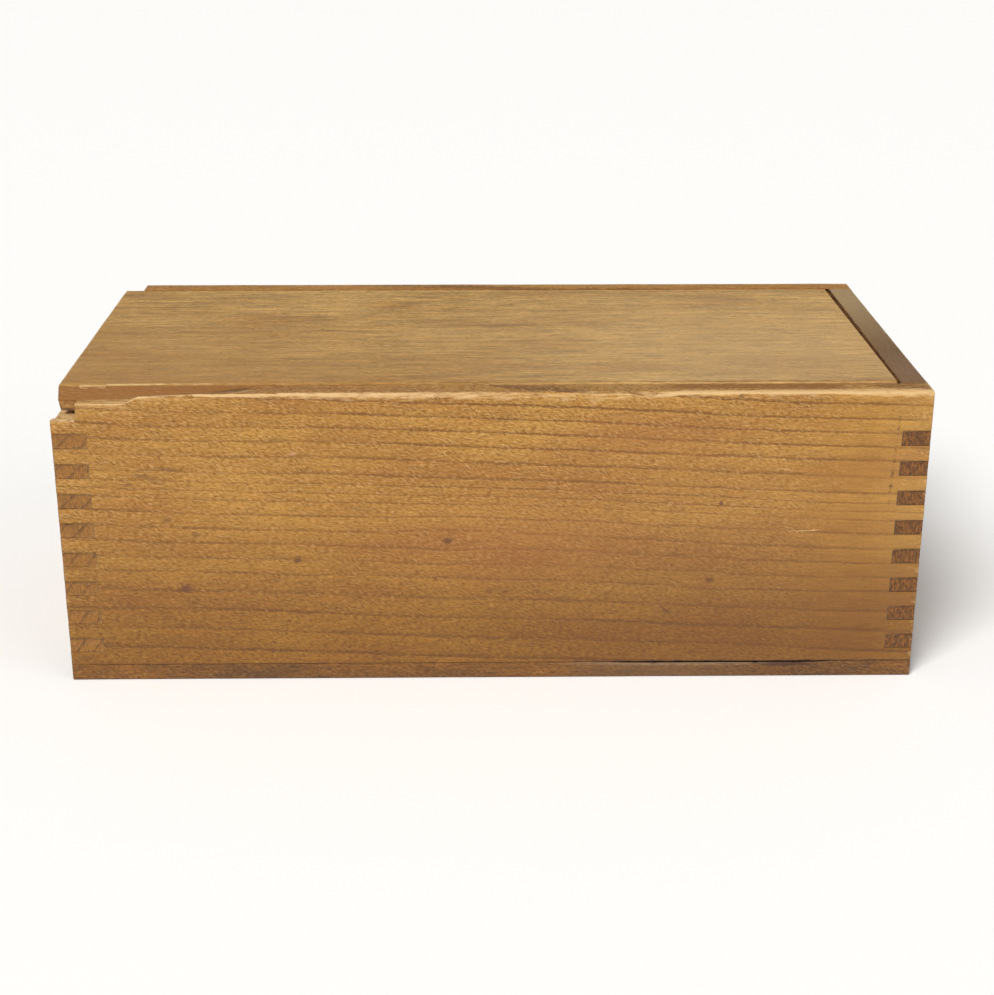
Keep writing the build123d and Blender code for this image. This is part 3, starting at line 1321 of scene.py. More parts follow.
@dataclass
class EndWall:
    """The left or the right end wall, with the fingers that show at the long walls' ends."""

    end: End
    joinery: Joinery
    sanding: Sanding
    finish: Softwood
    seed: int = 3
    rim: float = 1.0  # how dark the fingers' outlines are: old glue, and painted shade
    rim_width: float = 0.5
    sunk: Place = (0.03, 0.12)  # least and most that a finger's end is sunk
    spacing: float = 2.6  # of the mesh lines
    gap_lean: float = 0.85  # how far the inner face leans back at the lid
    gap_depth: float = 1.8
    shrink: float = 0.15  # how far the outer face lies behind the long walls' ends

    @property
    def node(self) -> str:
        """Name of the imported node."""
        return f"{self.end.name.lower()}_end_wall"

    def build(self) -> bpy.types.Object:
        """Model the wall, dress it and hang it on the box.

        Returns:
            The wall.
        """
        j = self.joinery
        low, high = cad_box(self.node)
        half_inside = abs(j.front) - j.wall
        piece = Workpiece()
        piece.block(Vector((low.x, -half_inside, low.z)), Vector((high.x, half_inside, high.z)))
        bands = j.finger_bands()
        cuts = (j.groove, j.lip_foot) if self.end is End.RIGHT else ()
        piece.saw(Axis.Z, sum(bands, cuts))
        for way in (-1, 1):
            tips = piece.faces(
                lambda c, n, way=way: n.y * way > 0.9
                and any(bottom < c.z < top for bottom, top in bands)
            )
            piece.lengthen(tips, Vector((0, way * j.wall, 0)))
            if self.end is End.RIGHT:
                self._fill_groove(piece, way, half_inside)
        piece.ease(0.14, lambda a, b: not j.on_outer_edge(a, b, high.z))
        self._rim_fingers(piece)
        self._divide(piece, low, high)
        for vert in piece.bm.verts:
            self._wear(piece, vert, high.z)
        return piece.finish(f"{self.node}_board", self.finish, "box", self.node, "wall_pine")

    def _fill_groove(self, piece: Workpiece, way: int, half_inside: float) -> None:
        """Lengthen the top into the end of a groove, slanted under the lip.

        Args:
            piece: the wall.
            way: the sign of the groove's Y.
            half_inside: from the box's middle to a long wall's inner face.
        """
        j = self.joinery
        foot = abs(j.front) - j.web - j.glue
        crown = abs(j.front) - j.lip - j.glue
        ends = piece.faces(lambda c, n: n.y * way > 0.9 and c.z > j.groove)
        piece.lengthen(ends, Vector((0, way * (foot - half_inside), 0)))
        for vert in piece.bm.verts:
            if vert.co.z > j.top - HAIR and vert.co.y * way > half_inside + HAIR:
                vert.co.y = way * crown

    def _rim_fingers(self, piece: Workpiece) -> None:
        """Give each finger's end a rim round a slightly sunk middle, dark with old glue and dirt,
        and darker on the upper side, and at the right end the inner side, as painted shade.

        Args:
            piece: the wall.
        """
        reach = abs(self.joinery.front)
        chance = random.Random(self.seed)
        tips = piece.faces(lambda c, n: abs(n.y) > 0.9 and abs(c.y) > reach - HAIR)
        for tip in tips:
            middle = tip.calc_center_median()
            for vert in tip.verts:
                inner = self.end.value * (middle.x - vert.co.x) > 0
                # Painted shade on the upper side, and at the right end on the inner side.
                shaded_side = vert.co.z > middle.z or (inner and self.end is End.RIGHT)
                piece.mark(vert, "dirt_and_shade", self.rim if shaded_side else 0.35 * self.rim)
            bmesh.ops.inset_individual(piece.bm, faces=[tip], thickness=self.rim_width, depth=0.0)
            sink = chance.uniform(*self.sunk)
            inwards = Vector((0, -sink if tip.normal.y > 0 else sink, 0))
            bmesh.ops.translate(piece.bm, vec=inwards, verts=tip.verts)
            for vert in tip.verts:
                vert[piece.marks["dirt_and_shade"]] = chance.uniform(0.0, 0.2)

    def _divide(self, piece: Workpiece, low: Vector, high: Vector) -> None:
        """Lay the mesh lines that sanding needs.

        Args:
            piece: the wall.
            low: the wall's lowest corner.
            high: its highest corner.
        """
        j, near = self.joinery, self.sanding.beside
        outer = low.x if self.end is End.LEFT else high.x
        piece.saw(Axis.X, near(outer, -self.end.value))
        reach = abs(j.front) - j.wall
        count = int(2 * reach / self.spacing)
        piece.saw(Axis.Y, [-reach + (i + 0.5) * 2 * reach / count for i in range(count)])
        heights = near(high.z, -1) + [high.z - 0.1]
        count = int((high.z - low.z) / self.spacing)
        heights += [low.z + self.spacing * (i + 1) for i in range(count)]
        piece.saw(Axis.Z, j.clear_of_fingers(heights, 0.0, 0.5))

    def _wear(self, piece: Workpiece, vert: Vert, top: float) -> None:
        """Sand the wall at one vertex; mark it where worn or inside, and paint shade in the lid's
        gap.

        Args:
            piece: the wall.
            vert: the vertex.
            top: the height of the wall's top.
        """
        j = self.joinery
        ends = (j.left, j.left_inner) if self.end is End.LEFT else (j.right, j.right_inner)
        outer, inner = ends
        point = vert.co.copy()
        vert.co, worn = self.sanding.soften(point, top)
        between = blend(1, 0, abs(point.y) - (abs(j.front) - j.wall - 1))
        share = between * (1 - abs(outer - point.x) / 4)
        vert.co.x -= self.end.value * self.shrink * max(0.0, share)
        piece.mark(vert, "worn", 0.6 * worn)
        if abs(point.x - inner) > 0.3:
            return
        if self.end is End.LEFT or point.z < j.groove:
            piece.mark(vert, "inside", 1.0)
            return
        lean = blend(self.gap_lean, 0, (top - point.z) / self.gap_depth)
        vert.co.x += lean * (0.85 + 0.25 * rough(point.y / 9, 1.0))
        # The inner face above the groove, in the gap beside the lid: stain, and painted shade.
        if point.z < top - HAIR:
            piece.mark(vert, "dirt_and_shade", 0.55)
            piece.mark(vert, "stain_and_shade", 1.0)


@dataclass
class BottomBoard:
    """The bottom board, flush with the walls all round and sunk for the nails' heads."""

    joinery: Joinery
    sanding: Sanding
    finish: Softwood
    nails_per_long_wall: int = 5
    nail_end_margin: float = 25.0
    end_nail_reach: float = 30.0  # from the middle of an end wall to its nails
    sink_radius: float = 1.75
    sink_depth: float = 0.8
    gape: float = 0.95  # how far the seam under the front wall has opened near the right end
    spacing: float = 3.0  # of the mesh lines

    def nail_places(self) -> list[Place]:
        """List where the nails stand.

        Returns:
            Each nail's X and Y.
        """
        j = self.joinery
        first, last = j.left + self.nail_end_margin, j.right - self.nail_end_margin
        pitch = (last - first) / (self.nails_per_long_wall - 1)
        xs = [first + i * pitch for i in range(self.nails_per_long_wall)]
        y = abs(j.front) - j.wall / 2
        places = [(x, side * y) for x in xs for side in (-1, 1)]
        for x in ((j.left + j.left_inner) / 2, (j.right + j.right_inner) / 2):
            places += [(x, side * self.end_nail_reach) for side in (-1, 1)]
        return places

    def build(self) -> bpy.types.Object:
        """Model the board, dress it and hang it on the box.

        Returns:
            The board.
        """
        low, high = cad_box("bottom_board")
        piece = Workpiece()
        piece.block(low, high)
        places = self.nail_places()
        piece.saw(Axis.X, [x for x, _ in places])
        piece.saw(Axis.Y, [y for _, y in places])
        self._sink_heads(piece, places)
        self._divide(piece, low, high, places)
        for vert in piece.bm.verts:
            self._wear(piece, vert, high.z)
        return piece.finish("bottom_board_wood", self.finish, "box", "bottom_board", "bottom_pine")

    def _wear(self, piece: Workpiece, vert: Vert, top: float) -> None:
        """Sand the board at one vertex, open the seam there and mark it.

        Args:
            piece: the board.
            vert: the vertex.
            top: the height of the board's top.
        """
        j, point = self.joinery, vert.co.copy()
        on_top = point.z > top - HAIR
        near_end = min(point.x - j.left, j.right - point.x)
        near_edge = min(near_end, point.y - j.front, j.back - point.y)
        vert.co, worn = self.sanding.soften(point, top + 40)
        piece.mark(vert, "worn", 0.5 * worn)
        # The rim under the walls: the open seam, with dirt and painted shade in it.
        if on_top and near_edge < 8:
            vert.co.z -= self._seam_at(point) * blend(1, 0, (near_edge - 3) / 5)
            dirt_and_shade_share = blend(0.3, 0.9, (point.x - 15) / 25)
            piece.mark(vert, "dirt_and_shade", dirt_and_shade_share if near_edge > HAIR else 0.4)
        elif on_top:
            piece.mark(vert, "inside", 1.0)
        if point.z < HAIR:
            piece.mark(vert, "dirt_and_shade", 0.25)

    def _seam_at(self, point: Vector) -> float:
        """Tell how far the board has shrunk from the walls at a place along its rim.

        Args:
            point: the place.

        Returns:
            The depth of the open seam.
        """
        from_right = self.joinery.right - point.x
        opening = blend(1, 0, (from_right - 91) / 9) * blend(0, 1, (from_right - 26) / 10)
        uneven = 0.8 + 0.4 * rough(point.x / 17, point.y / 15, 5.0)
        return 0.06 + self.gape * opening * uneven

    def _sink_heads(self, piece: Workpiece, places: list[Place]) -> None:
        """Sink a round recess for each nail's head into the underside.

        Args:
            piece: the board.
            places: the nails' X and Y.
        """
        bm = piece.bm
        corners = [
            vert
            for vert in bm.verts
            if vert.co.z < HAIR and any(math.dist(vert.co[:2], place) < HAIR for place in places)
        ]
        bmesh.ops.bevel(
            bm,
            geom=corners,
            offset=self.sink_radius,
            segments=1,
            profile=0.5,
            affect="VERTICES",
            material=-1,
        )
        for x, y in places:
            recess = piece.faces(
                lambda c, n, x=x, y=y: n.z < -0.9 and math.dist(c[:2], (x, y)) < HAIR
            )
            sides = [edge for face in recess for edge in face.edges]
            bmesh.ops.subdivide_edges(bm, edges=sides, cuts=4)
            middle = Vector((x, y, 0))
            for vert in {vert for face in recess for vert in face.verts}:
                vert.co = middle + (vert.co - middle).normalized() * self.sink_radius
            piece.lengthen(recess, Vector((0, 0, self.sink_depth)))

    def _divide(self, piece: Workpiece, low: Vector, high: Vector, places: list[Place]) -> None:
        """Lay the mesh lines that sanding and the seam need, clear of the nails.

        Args:
            piece: the board.
            low: the board's lowest corner.
            high: its highest corner.
            places: the nails' X and Y.
        """
        near = self.sanding.beside
        room = self.sink_radius + 0.3
        for axis in (Axis.X, Axis.Y):
            index = axis.value
            start, end = low[index], high[index]
            count = int((end - start) / self.spacing)
            lines = [start + (i + 1) * (end - start) / count for i in range(count - 1)]
            clear = [
                line
                for line in lines
                if all(abs(line - place[index]) > room for place in places)
                and 3.2 < line - start < end - start - 3.2
            ]
            piece.saw(axis, near(start, 1)[:4] + near(end, -1)[:4] + clear)
        piece.saw(Axis.Z, [0.3, 0.8, high.z - 0.9, high.z - 0.4])


@dataclass
class SlidingLid:
    """The lid: one board whose bevelled long edges run under the lips of both grooves."""

    joinery: Joinery
    finish: Softwood
    spacing: float = 2.4  # of the mesh lines
    fine: float = 0.6  # the same along the chip
    beside_ends: tuple[float, ...] = (0.2, 0.5, 0.9, 1.5)  # mesh lines beside the edges
    beside_bevels: tuple[float, ...] = (0.15, 0.35, 0.7, 1.3)
    below_top: tuple[float, ...] = (0.25, 0.6, 1.1, 1.8, 2.6, 4.3, 5.0, 5.8, 6.4)
    undercut: float = 1.3  # how far the left end leans in at its foot
    right_skew: float = 0.8  # how much wider the right gap is at the back than at the front
    right_reach: float = 0.4  # how much closer to the right end wall than packed
    end_zone: float = 20.0  # over which these two fade out
    edge: float = 0.3  # radius of the long top edges
    left_edge: float = 0.45
    right_edge: float = 0.1
    chip_end: float = 14.8  # from the lid's left end to the end of the chip in its front edge
    chip_reach: float = 2.6
    chip_depth: float = 0.25

    @property
    def crown(self) -> float:
        """Half the width of the flat top between the bevels."""
        return abs(self.joinery.front) - self.joinery.lip - self.joinery.side_gap

    def build(self) -> bpy.types.Object:
        """Model the lid, dress it and hang it on its own body.

        Returns:
            The lid.
        """
        j, (low, high) = self.joinery, self.joinery.lid
        section = [
            (low.y, low.z),
            (high.y, low.z),
            (high.y, j.lip_foot),
            (self.crown, high.z),
            (-self.crown, high.z),
            (low.y, j.lip_foot),
        ]
        piece = Workpiece()
        piece.prism(section, low.x, high.x)
        self._divide(piece)
        for vert in piece.bm.verts:
            self._wear(piece, vert)
        return piece.finish("sliding_lid_board", self.finish, "lid", "sliding_lid", "lid_pine")

    def _divide(self, piece: Workpiece) -> None:
        """Lay the mesh lines that the rounded edges, the chip and the bevels need.

        Args:
            piece: the lid.
        """
        (low, high), crown = self.joinery.lid, self.crown
        xs = [low.x + step for step in self.beside_ends]
        xs += [high.x - step for step in self.beside_ends]
        fine_end = low.x + self.chip_end + 3
        count = int((self.chip_end + 1) / self.fine)
        xs += [low.x + 2 + self.fine * i for i in range(count)]
        count = int((high.x - fine_end) / self.spacing)
        xs += [fine_end + i * self.spacing for i in range(count)]
        piece.saw(Axis.X, xs)
        ys = [side * (crown - step) for step in self.beside_bevels for side in (-1, 1)]
        count = int(2 * crown / self.spacing)
        ys += [-crown + (i + 0.5) * 2 * crown / count for i in range(count)]
        piece.saw(Axis.Y, [y for y in ys if abs(y) <= crown - 0.14])
        piece.saw(Axis.Z, [high.z - step for step in self.below_top])

    def planed_at(self, x: float) -> float:
        """Give how much further in the front bevel was planed at a place along the lid."""
        low = self.joinery.lid[0].x
        return 1.5 + blend(0, 0.3, (x - low) / 40) + blend(0, 0.5, (x - low - 56) / 60)

    def brown_and_shade_at(self, x: float) -> float:
        """Give how brown the bevels are, old varnish and painted shade, at a place along the lid.
        """
        return blend(0.95, 0.55, (x + 35) / 30) + blend(0, 0.3, (x - 45) / 20)

    def _wear(self, piece: Workpiece, vert: Vert) -> None:
        """Shape and mark one vertex: the rounded edges, the chip and the wandering top.

        Args:
            piece: the lid.
            vert: the vertex.
        """
        j, (low, high) = self.joinery, self.joinery.lid
        point = vert.co.copy()
        near_left, near_right = point.x - low.x, high.x - point.x
        near_top = high.z - point.z
        slant = (abs(j.front) - j.web - j.side_gap - self.crown) / j.lip_rise
        near_side = self.crown + slant * min(near_top, j.lip_rise) - abs(point.y)
        in_front = point.y < 0
        if in_front:
            self._chip(piece, vert, point, (near_left, near_side, near_top))
        radius = self.edge * (1 + 0.4 * rough(vert.co.x / 7, vert.co.y / 9, 2.0))
        reach_in = max(0.0, 1 - math.hypot(max(near_side, 0), near_top) / (1.6 * radius))
        point.z -= 0.35 * radius * reach_in
        # The pale crown edge beside the chip: rubbed wood and painted highlight.
        past_chip = near_left - self.chip_end
        rub_and_light = blend(0.95, 0.08, (past_chip - 10) / 40) if in_front and past_chip > 0 else 0.2
        piece.mark(vert, "worn", rub_and_light * math.sqrt(reach_in))
        end_radius = self.left_edge * radius / self.edge
        near_left, rounded_top = onto_arc(near_left, near_top, end_radius)
        near_right, rounded_top = onto_arc(near_right, rounded_top, self.right_edge)
        point.z -= rounded_top - near_top
        if near_left < 1 and near_top < 1.2:
            piece.mark(vert, "worn", 0.5 * (1 - near_left) * (1 - near_top / 1.2))
        lean = blend(0, self.undercut, near_top / (high.z - low.z)) * blend(1, 0, near_left / 6)
        if near_left < near_right:
            point.x = low.x + near_left + lean
        else:
            skew = blend(0, self.right_skew, (point.y - low.y) / (high.y - low.y))
            shift = (self.right_reach - skew) * blend(1, 0, near_right / self.end_zone)
            point.x = high.x - near_right + shift
        if near_top < HAIR:
            point.z -= 0.06 + 0.05 * rough(point.x / 41, point.y / 15, 8.0)
        self._stain_and_shade(piece, vert, point.x, (near_side, near_top), lean)
        if in_front and near_top < j.lip_rise and near_side < 8:
            planed = 1 - near_top / j.lip_rise if near_top > HAIR else 1 - near_side / 8
            point.y += self.planed_at(point.x) * max(0.0, planed)
        # The right end face, in the gap by the end wall: stain and painted shade.
        if near_right < 0.2 and near_top > 0.2:
            piece.mark(vert, "dirt_and_shade", 0.5)
            piece.mark(vert, "stain_and_shade", 1.0)
        vert.co = point
        if point.z < low.z + HAIR:
            piece.mark(vert, "inside", 1.0)

    def _chip(self, piece: Workpiece, vert: Vert, point: Vector, near: Triple) -> None:
        """Chip the front edge beside the broken lip.

        Args:
            piece: the lid.
            vert: the vertex.
            point: the point that is lowered.
            near: its distance from the lid's left end, bevel and top.
        """
        near_left, near_side, near_top = near
        end = self.chip_end + 1.2 * rough(point.x / 0.8, near_top / 0.9, 6.0)
        if near_left >= end or max(near_side, near_top) >= self.chip_reach:
            return
        bite = self.chip_depth * (0.8 + 0.5 * rough(near_left / 3.1, near_side, near_top))
        along = min(1.0, (near_left + 1) / 6, (end - near_left) / 0.5)
        reach = blend(1, 0, math.hypot(near_side, near_top) / 2.4)
        point.z -= bite * max(along, 0) * reach
        # The chip's pale band: fresh wood and painted highlight.
        if near_left > 6.8 and near_side < 0.6:
            piece.mark(vert, "worn", 0.9 * math.exp(-(((near_top - 0.3) / 0.35) ** 2)))

    def _stain_and_shade(self, piece: Workpiece, vert: Vert, x: float, near: Place, lean: float) -> None:
        """Mark the bevels and the faces beside them: old varnish with painted shade, and dirt with
        painted shade low on the sides and at the front's left end.

        Args:
            piece: the lid.
            vert: the vertex, still in its place on the square board.
            x: its new place along the lid.
            near: its distance from the bevel and the top.
            lean: how far the lid's left end leans in there.
        """
        near_side, near_top = near
        rise = self.joinery.lip_rise
        in_front = vert.co.y < 0
        if near_side < 0.2 and near_top > 0.4:
            # The bevels: brown with old varnish and painted shade; below them, some stain.
            below_bevel = near_top > rise + HAIR
            piece.mark(vert, "stain_and_shade", 0.35 if below_bevel else self.brown_and_shade_at(x))
            # Low on the sides, and at the front's left end: dirt and painted shade.
            piece.mark(vert, "dirt_and_shade", blend(0, 0.45, (near_top - rise - 1.4) / 1.2))
            if in_front and near_top > 0.8:
                from_end = x - self.joinery.lid[0].x - lean
                piece.mark(vert, "dirt_and_shade", blend(0.6, 0, from_end / 0.9))
        # Painted shade on the top, just behind the front bevel.
        if in_front and near_top < HAIR:
            behind = blend(1, 0, near_side / 4) * blend(0, 1, (x + 40) / 30)
            piece.mark(vert, "stain_and_shade", 0.75 * behind * self.brown_and_shade_at(x))


@dataclass
class BottomNails:
    """The nails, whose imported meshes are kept."""

    finish: RustySteel

    def build(self) -> bpy.types.Object:
        """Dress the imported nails.

        Returns:
            The nails.
        """
        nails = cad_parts["bottom_nails"]
        material = self.finish.material()
        if not nails.material_slots:
            nails.data.materials.append(material)
        for slot in nails.material_slots:
            slot.material = material
        return nails


@dataclass
class Studio:
    """A pale floor, soft lamps and the camera, in metres."""

    lens: float = 64.54  # in mm
    sensor: float = 36.0  # in mm
    camera_place: Triple = (-0.00756, -0.5961, 0.2636)
    pitch: float = 20.813  # degrees below level
    yaw: float = -0.9648  # degrees to the left
    roll: float = 0.1008
    floor_reach: float = 100.0
    floor_tone: str = "#f3f2f0"
    air_tone: str = "#fbfaf8"
    air: float = 0.35  # brightness of the room
    key: float = 3.1  # light of the lamp at the front left, in watts per square metre
    key_from: Triple = (-0.42, -0.72, 0.9)
    key_spread: float = 28.0  # degrees
    fill: float = 0.5  # the same for the lamp at the right
    fill_from: Triple = (0.9, -0.7, 0.6)
    fill_spread: float = 50.0

    def build(self) -> None:
        """Set up the floor, the lamps and the camera."""
        self._floor()
        self._air()
        self._lamp("key", self.key_from, self.key, self.key_spread)
        self._lamp("fill", self.fill_from, self.fill, self.fill_spread)
        self._camera()

    def _floor(self) -> None:
        """Lay a wide floor of pale matt card, which shows only soft shadows."""
        bm = bmesh.new()
        bmesh.ops.create_grid(bm, x_segments=1, y_segments=1, size=self.floor_reach)
        mesh = bpy.data.meshes.new("floor")
        bm.to_mesh(mesh)
        bm.free()
        floor = bpy.data.objects.new("floor", mesh)
        bpy.context.scene.collection.objects.link(floor)
        card = Shading("pale_floor")
        inputs = {"Base Color": colour(self.floor_tone), "Roughness": 0.85}
        card.add("OutputMaterial", {"Surface": card.add("BsdfPrincipled", inputs)})
        mesh.materials.append(card.material)

    def _air(self) -> None:
        """Fill the room with even, faintly warm light."""
        world = bpy.data.worlds.new("room")
        bpy.context.scene.world = world
        world.use_nodes = True
        background = world.node_tree.nodes["Background"]
        background.inputs["Color"].default_value = colour(self.air_tone)
        background.inputs["Strength"].default_value = self.air

    def _lamp(self, name: str, away: Triple, strength: float, spread: float) -> None:
        """Hang a far, wide and soft lamp.

        Args:
            name: the lamp's name.
            away: the direction in which it hangs.
            strength: its light on a surface that faces it, in watts per square metre.
            spread: how many degrees wide it looks from the box.
        """
        light = bpy.data.lights.new(name, "SUN")
        light.energy = strength
        light.angle = math.radians(spread)
        lamp = bpy.data.objects.new(name, light)
        lamp.rotation_euler = Vector(away).to_track_quat("Z", "Y").to_euler()
        bpy.context.scene.collection.objects.link(lamp)

    def _camera(self) -> None:
        """Place the camera as the photograph was taken."""
        data = bpy.data.cameras.new("camera")
        data.sensor_fit = "HORIZONTAL"
        data.sensor_width = self.sensor
        data.lens = self.lens
        data.clip_start = 0.01
        camera = bpy.data.objects.new("camera", data)
        level = Matrix.Rotation(-math.radians(self.yaw), 3, "Z").inverted()
        tilt = Matrix.Rotation(math.pi / 2 - math.radians(self.pitch), 3, "X")
        roll = Matrix.Rotation(math.radians(self.roll), 3, "Z")
        turned = (level @ tilt @ roll).to_4x4()
        camera.matrix_world = Matrix.Translation(self.camera_place) @ turned
        bpy.context.scene.collection.objects.link(camera)
        bpy.context.scene.camera = camera


# Along the front wall's top edge, from the torn lip to the right end: the pale stretches, rubbed
# wood with painted highlight, and the brown ones that kept their varnish, with painted shade
# beside the lid.
FRONT_EDGE_WEAR_AND_LIGHT = (
    EdgeWearAndLight(-125, 0.9, 0.5, 0.6, 0.9),
    EdgeWearAndLight(-112, 1.1, 0.5, 0.7, 0.9),
    EdgeWearAndLight(-95, 1.1, 0.7, 0.9, 0.8),
    EdgeWearAndLight(-70, 1.2, 0.9, 0.95, 0.5),
    EdgeWearAndLight(-50, 1.9, 1.5, 0.7, 0.15),
    EdgeWearAndLight(-5, 2.2, 1.4, 0.6, 0.0),
    EdgeWearAndLight(12, 2.6, 0.6, 0.4, 0.0),
    EdgeWearAndLight(48, 2.6, 0.6, 0.45, 0.0),
    EdgeWearAndLight(60, 0.7, 2.1, 1.0, 0.8),
    EdgeWearAndLight(105, 0.7, 2.5, 1.0, 0.8),
    EdgeWearAndLight(115, 1.4, 3.4, 0.8, 0.3),
    EdgeWearAndLight(140, 1.4, 3.4, 0.8, 0.3),
)


def front_finish(joinery: Joinery) -> Softwood:
    """Give the front wall its wood: rings that fall slowly to the right, small knots and marks.

    Args:
        joinery: the box's sizes.

    Returns:
        The wood, darker and redder toward its foot with painted shade that is partly patina,
        and with the dents and chips of long use.
    """
    left, top, face = joinery.left, joinery.top, joinery.front
    scratched = "#cfa468"

    def spot(along: float, drop: float, wide: float, high: float, **looks: float | str) -> Spot:
        """Make a mark on the front face at a distance from its left end and below its top."""
        return Spot((left + along, face, top - drop), (wide, 1.5, high), **looks)

    small_knots = (
        spot(39.0, 65.5, 1.9, 1.4, strength=0.8),
        spot(75.0, 55.7, 1.2, 0.9, strength=0.8),
        spot(123.0, 49.4, 1.3, 1.0, strength=0.85),
        spot(207.4, 63.4, 1.3, 0.9, strength=0.8),
        spot(34.2, 41.9, 1.4, 0.8, strength=0.55),
        spot(42.9, 46.9, 0.9, 0.9, strength=0.5),
        spot(210.1, 36.9, 0.6, 0.6, strength=0.85, softness=0.5),
    )
    smudges = (
        spot(35.8, 24.8, 3.4, 0.6, strength=0.5, turn=8),
        spot(28.2, 27.3, 3.8, 0.8, strength=0.45, turn=6),
        spot(22.5, 29.9, 1.7, 0.5, strength=0.5),
        spot(31.8, 29.3, 2.6, 0.5, strength=0.35, turn=10),
        spot(136.3, 67.0, 1.2, 0.6, strength=0.6),
        spot(141.7, 67.0, 1.2, 0.6, strength=0.6),
        spot(193.3, 73.8, 2.2, 0.5, strength=0.7, turn=40),
        spot(140.0, 50.0, 32.0, 11.0, strength=0.28, hue="#94552a", softness=1.6),
        spot(186.0, 15.0, 22.0, 6.0, strength=0.25, hue="#95582a", softness=1.6),
    )
    chips = (
        spot(214.6, 1.2, 0.8, 0.6, strength=0.8),
        spot(235.4, 0.7, 2.2, 0.5, strength=0.8),
        spot(237.2, 46.4, 4.6, 0.25, strength=0.6, turn=-2, hue=scratched),
        spot(229.8, 25.6, 2.2, 0.25, strength=0.5, turn=8, hue=scratched),
        spot(216.6, 11.0, 1.2, 0.3, strength=0.5, hue=scratched),
        spot(74.7, 19.9, 0.9, 0.5, strength=0.5, hue="#c9977b"),
    )
    paler_end = spot(271.0, 30.0, 9.0, 45.0, strength=0.15, hue="#bb9355", softness=1.2)
    dull = (
        spot(70.0, 45.0, 60.0, 30.0, strength=0.16, hue="#8f5a1c", softness=1.8),
        spot(212.0, 45.0, 50.0, 26.0, strength=0.34, hue="#8f6030", softness=1.8),
    )
    # Painted shade over the front's lower right.
    painted_foot_shade = spot(235.0, 86.0, 80.0, 26.0, strength=0.38, hue="#60350a", softness=1.6)
    return Softwood(
        name="front_wall_softwood",
        grain=Axis.X,
        pith=(face + 25, top + 160),
        first_ring=161.55,
        ring_slope=0.0385,
        bands=(
            RingBand(4.0, 18.0, 0.22),
            RingBand(18.0, 29.0, -0.1),
            RingBand(30.0, 38.5, 1.3),
            RingBand(63.0, 97.0, -1.9),
        ),
        knots=(
            Knot(left + 123, top - 49.4, (15, 6), 2.4),
            Knot(left + 75, top - 55.7, (9, 4), 1.6),
            Knot(left + 39, top - 65.5, (9, 4), 1.6),
            Knot(left + 207, top - 63.4, (9, 4), 1.6),
        ),
        fibre_strength=0.8,
        late_strength=1.0,
        spots=(paler_end, *dull, painted_foot_shade, *smudges, *small_knots, *chips),
        quiet=spot(258.0, 50.0, 24.0, 70.0),
        bold=Spot((left + 165, face, top - 12), (95, 30, 24)),
        gauge_line=Spot((left + 263.9, face, top - 24), (0.6, 1.5, 19), 0.95, 2.5, hue="#4f2c0a"),
        # Painted shade, partly patina, toward the foot.
        shade_low=(0.38, 0.47, 0.8),
        shade_from=72.0,
        shade_to=8.0,
        seed=1.0,
    )


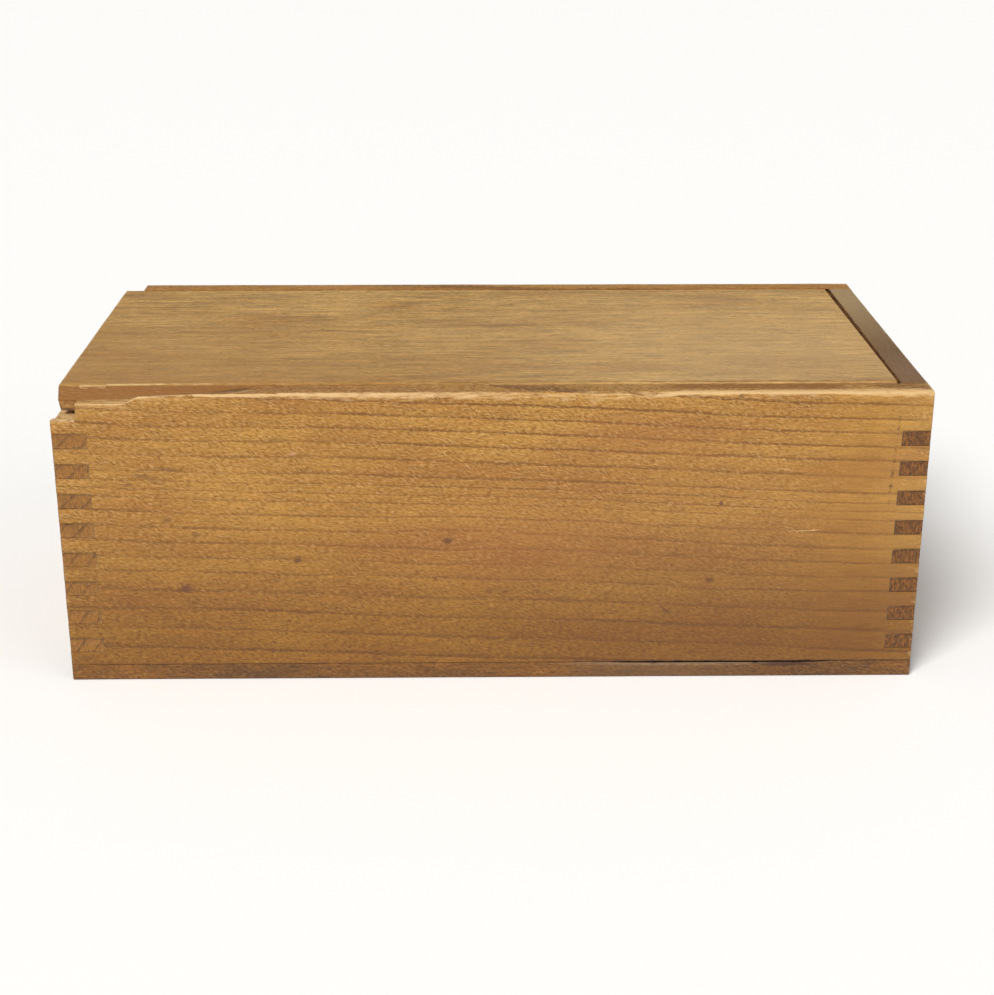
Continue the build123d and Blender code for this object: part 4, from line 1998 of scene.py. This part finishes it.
def board_finishes(joinery: Joinery) -> dict[str, Softwood]:
    """Give each board its wood.

    Args:
        joinery: the box's sizes.

    Returns:
        The woods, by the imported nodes' names.
    """
    top, front = joinery.top, joinery.front
    # Painted shade, partly patina, on the outside toward its foot.
    foot_shade = {"shade_low": (0.17, 0.2, 0.3)}  # the outside is a little darker toward its foot
    # Plain and even, because it was never handled as much as the front.
    back = Softwood(
        name="back_wall_softwood",
        grain=Axis.X,
        pith=(joinery.back - 40, -150),
        first_ring=150.0,
        ring_width=5.6,
        ring_slope=-0.02,
        fleck_strength=0.8,
        seed=2.0,
        **foot_shade,
    )
    # Its sawn finger ends have stayed nearly as pale as the front face, with few open pores.
    left = Softwood(
        name="left_end_softwood",
        grain=Axis.Y,
        pith=(-60, -120),
        first_ring=120.0,
        ring_width=4.6,
        end_grain="#8a5b1f",
        pore_strength=0.3,
        end_contrast=0.5,
        fleck_strength=0.8,
        seed=3.0,
        **foot_shade,
    )
    # A browner board with dark finger ends and a greyish, worn top.
    right = Softwood(
        name="right_end_softwood",
        grain=Axis.Y,
        pith=(60, -130),
        first_ring=125.0,
        ring_width=4.4,
        fleck_strength=0.7,
        pale="#9c6f2a",
        early="#936526",
        warm="#875a20",
        late="#68400a",
        end_grain="#71440f",
        spots=(
            Spot((0, -133, top), (95, 30, 2.2), 0.86, hue="#654924", softness=1.4),
            Spot((55, -133, top), (45, 30, 2.2), 0.7, hue="#a4885c", softness=1.4),
            Spot((-45, -133, top), (12, 30, 2.5), 0.35, hue="#80614c", softness=1.4),
        ),
        seed=4.0,
        **foot_shade,
    )
    # Paler and greyer, with long soft fibres instead of clear rings.
    lid = Softwood(
        name="lid_softwood",
        grain=Axis.X,
        pith=(-210, 40),
        first_ring=150.0,
        ring_width=6.5,
        ring_slope=0.012,
        late_strength=0.35,
        fleck_strength=0.6,
        fleck_size=1.3,
        fibre_strength=1.5,
        fibre_size=(13.0, 1.4, 0.6),
        mottle=0.45,
        pale="#bd9450",
        early="#b08743",
        warm="#a17434",
        late="#7a5010",
        end_grain="#8a6238",
        fleck_turn=4.0,
        spots=(
            Spot((-120, -50, top), (90, 60, 20), 0.6, hue="#a0733a", softness=1.6),
            Spot((90, -30, top), (70, 70, 20), 0.45, hue="#c5a270", softness=1.6),
        ),
        seed=5.0,
    )
    # The darkest board, blotched by damp and dirt.
    bottom = Softwood(
        name="bottom_softwood",
        grain=Axis.X,
        pith=(-130, 20),
        first_ring=60.0,
        ring_width=6.0,
        late_strength=0.6,
        fleck_strength=0.8,
        fibre_strength=1.4,
        mottle=0.9,
        pale="#7f4e08",
        early="#714508",
        warm="#5f3a0a",
        late="#371d05",
        end_grain="#5a3e28",
        bare_and_highlight="#9c7a4e",
        spots=(
            Spot((54, front, 3), (24, 6, 8), 0.5, hue="#5a442f", softness=1.4),
            Spot((64, front, 5), (34, 4, 0.7), 0.6, hue="#8d7458", softness=0.8),
            Spot((96, front, 4.6), (9, 4, 0.9), 0.8, hue="#3a1c0c", softness=0.8),
        ),
        seed=6.0,
    )
    return {
        "front_wall": front_finish(joinery),
        "back_wall": back,
        "left_end_wall": left,
        "right_end_wall": right,
        "bottom_board": bottom,
        "sliding_lid": lid,
    }


def main() -> None:
    """Build the box board by board, then the studio round it."""
    logging.basicConfig(level=logging.INFO, format="%(message)s")
    joinery = Joinery()
    sanding = Sanding(joinery)
    woods = board_finishes(joinery)
    front, back = woods["front_wall"], woods["back_wall"]
    left, right = woods["left_end_wall"], woods["right_end_wall"]
    builders = (
        LongWall(Side.FRONT, joinery, sanding, front, broken=True, edge_wear_and_light=FRONT_EDGE_WEAR_AND_LIGHT),
        LongWall(Side.BACK, joinery, sanding, back),
        EndWall(End.LEFT, joinery, sanding, left, seed=3, rim=0.8),
        EndWall(End.RIGHT, joinery, sanding, right, seed=4),
        BottomBoard(joinery, sanding, woods["bottom_board"]),
        SlidingLid(joinery, woods["sliding_lid"]),
        BottomNails(RustySteel()),
    )
    for builder in builders:
        piece = builder.build()
        log.info("%s: %d faces", piece.name, len(piece.data.polygons))
    Studio().build()
    bpy.context.scene.view_settings.view_transform = "Standard"


if __name__ == "__main__":
    main()
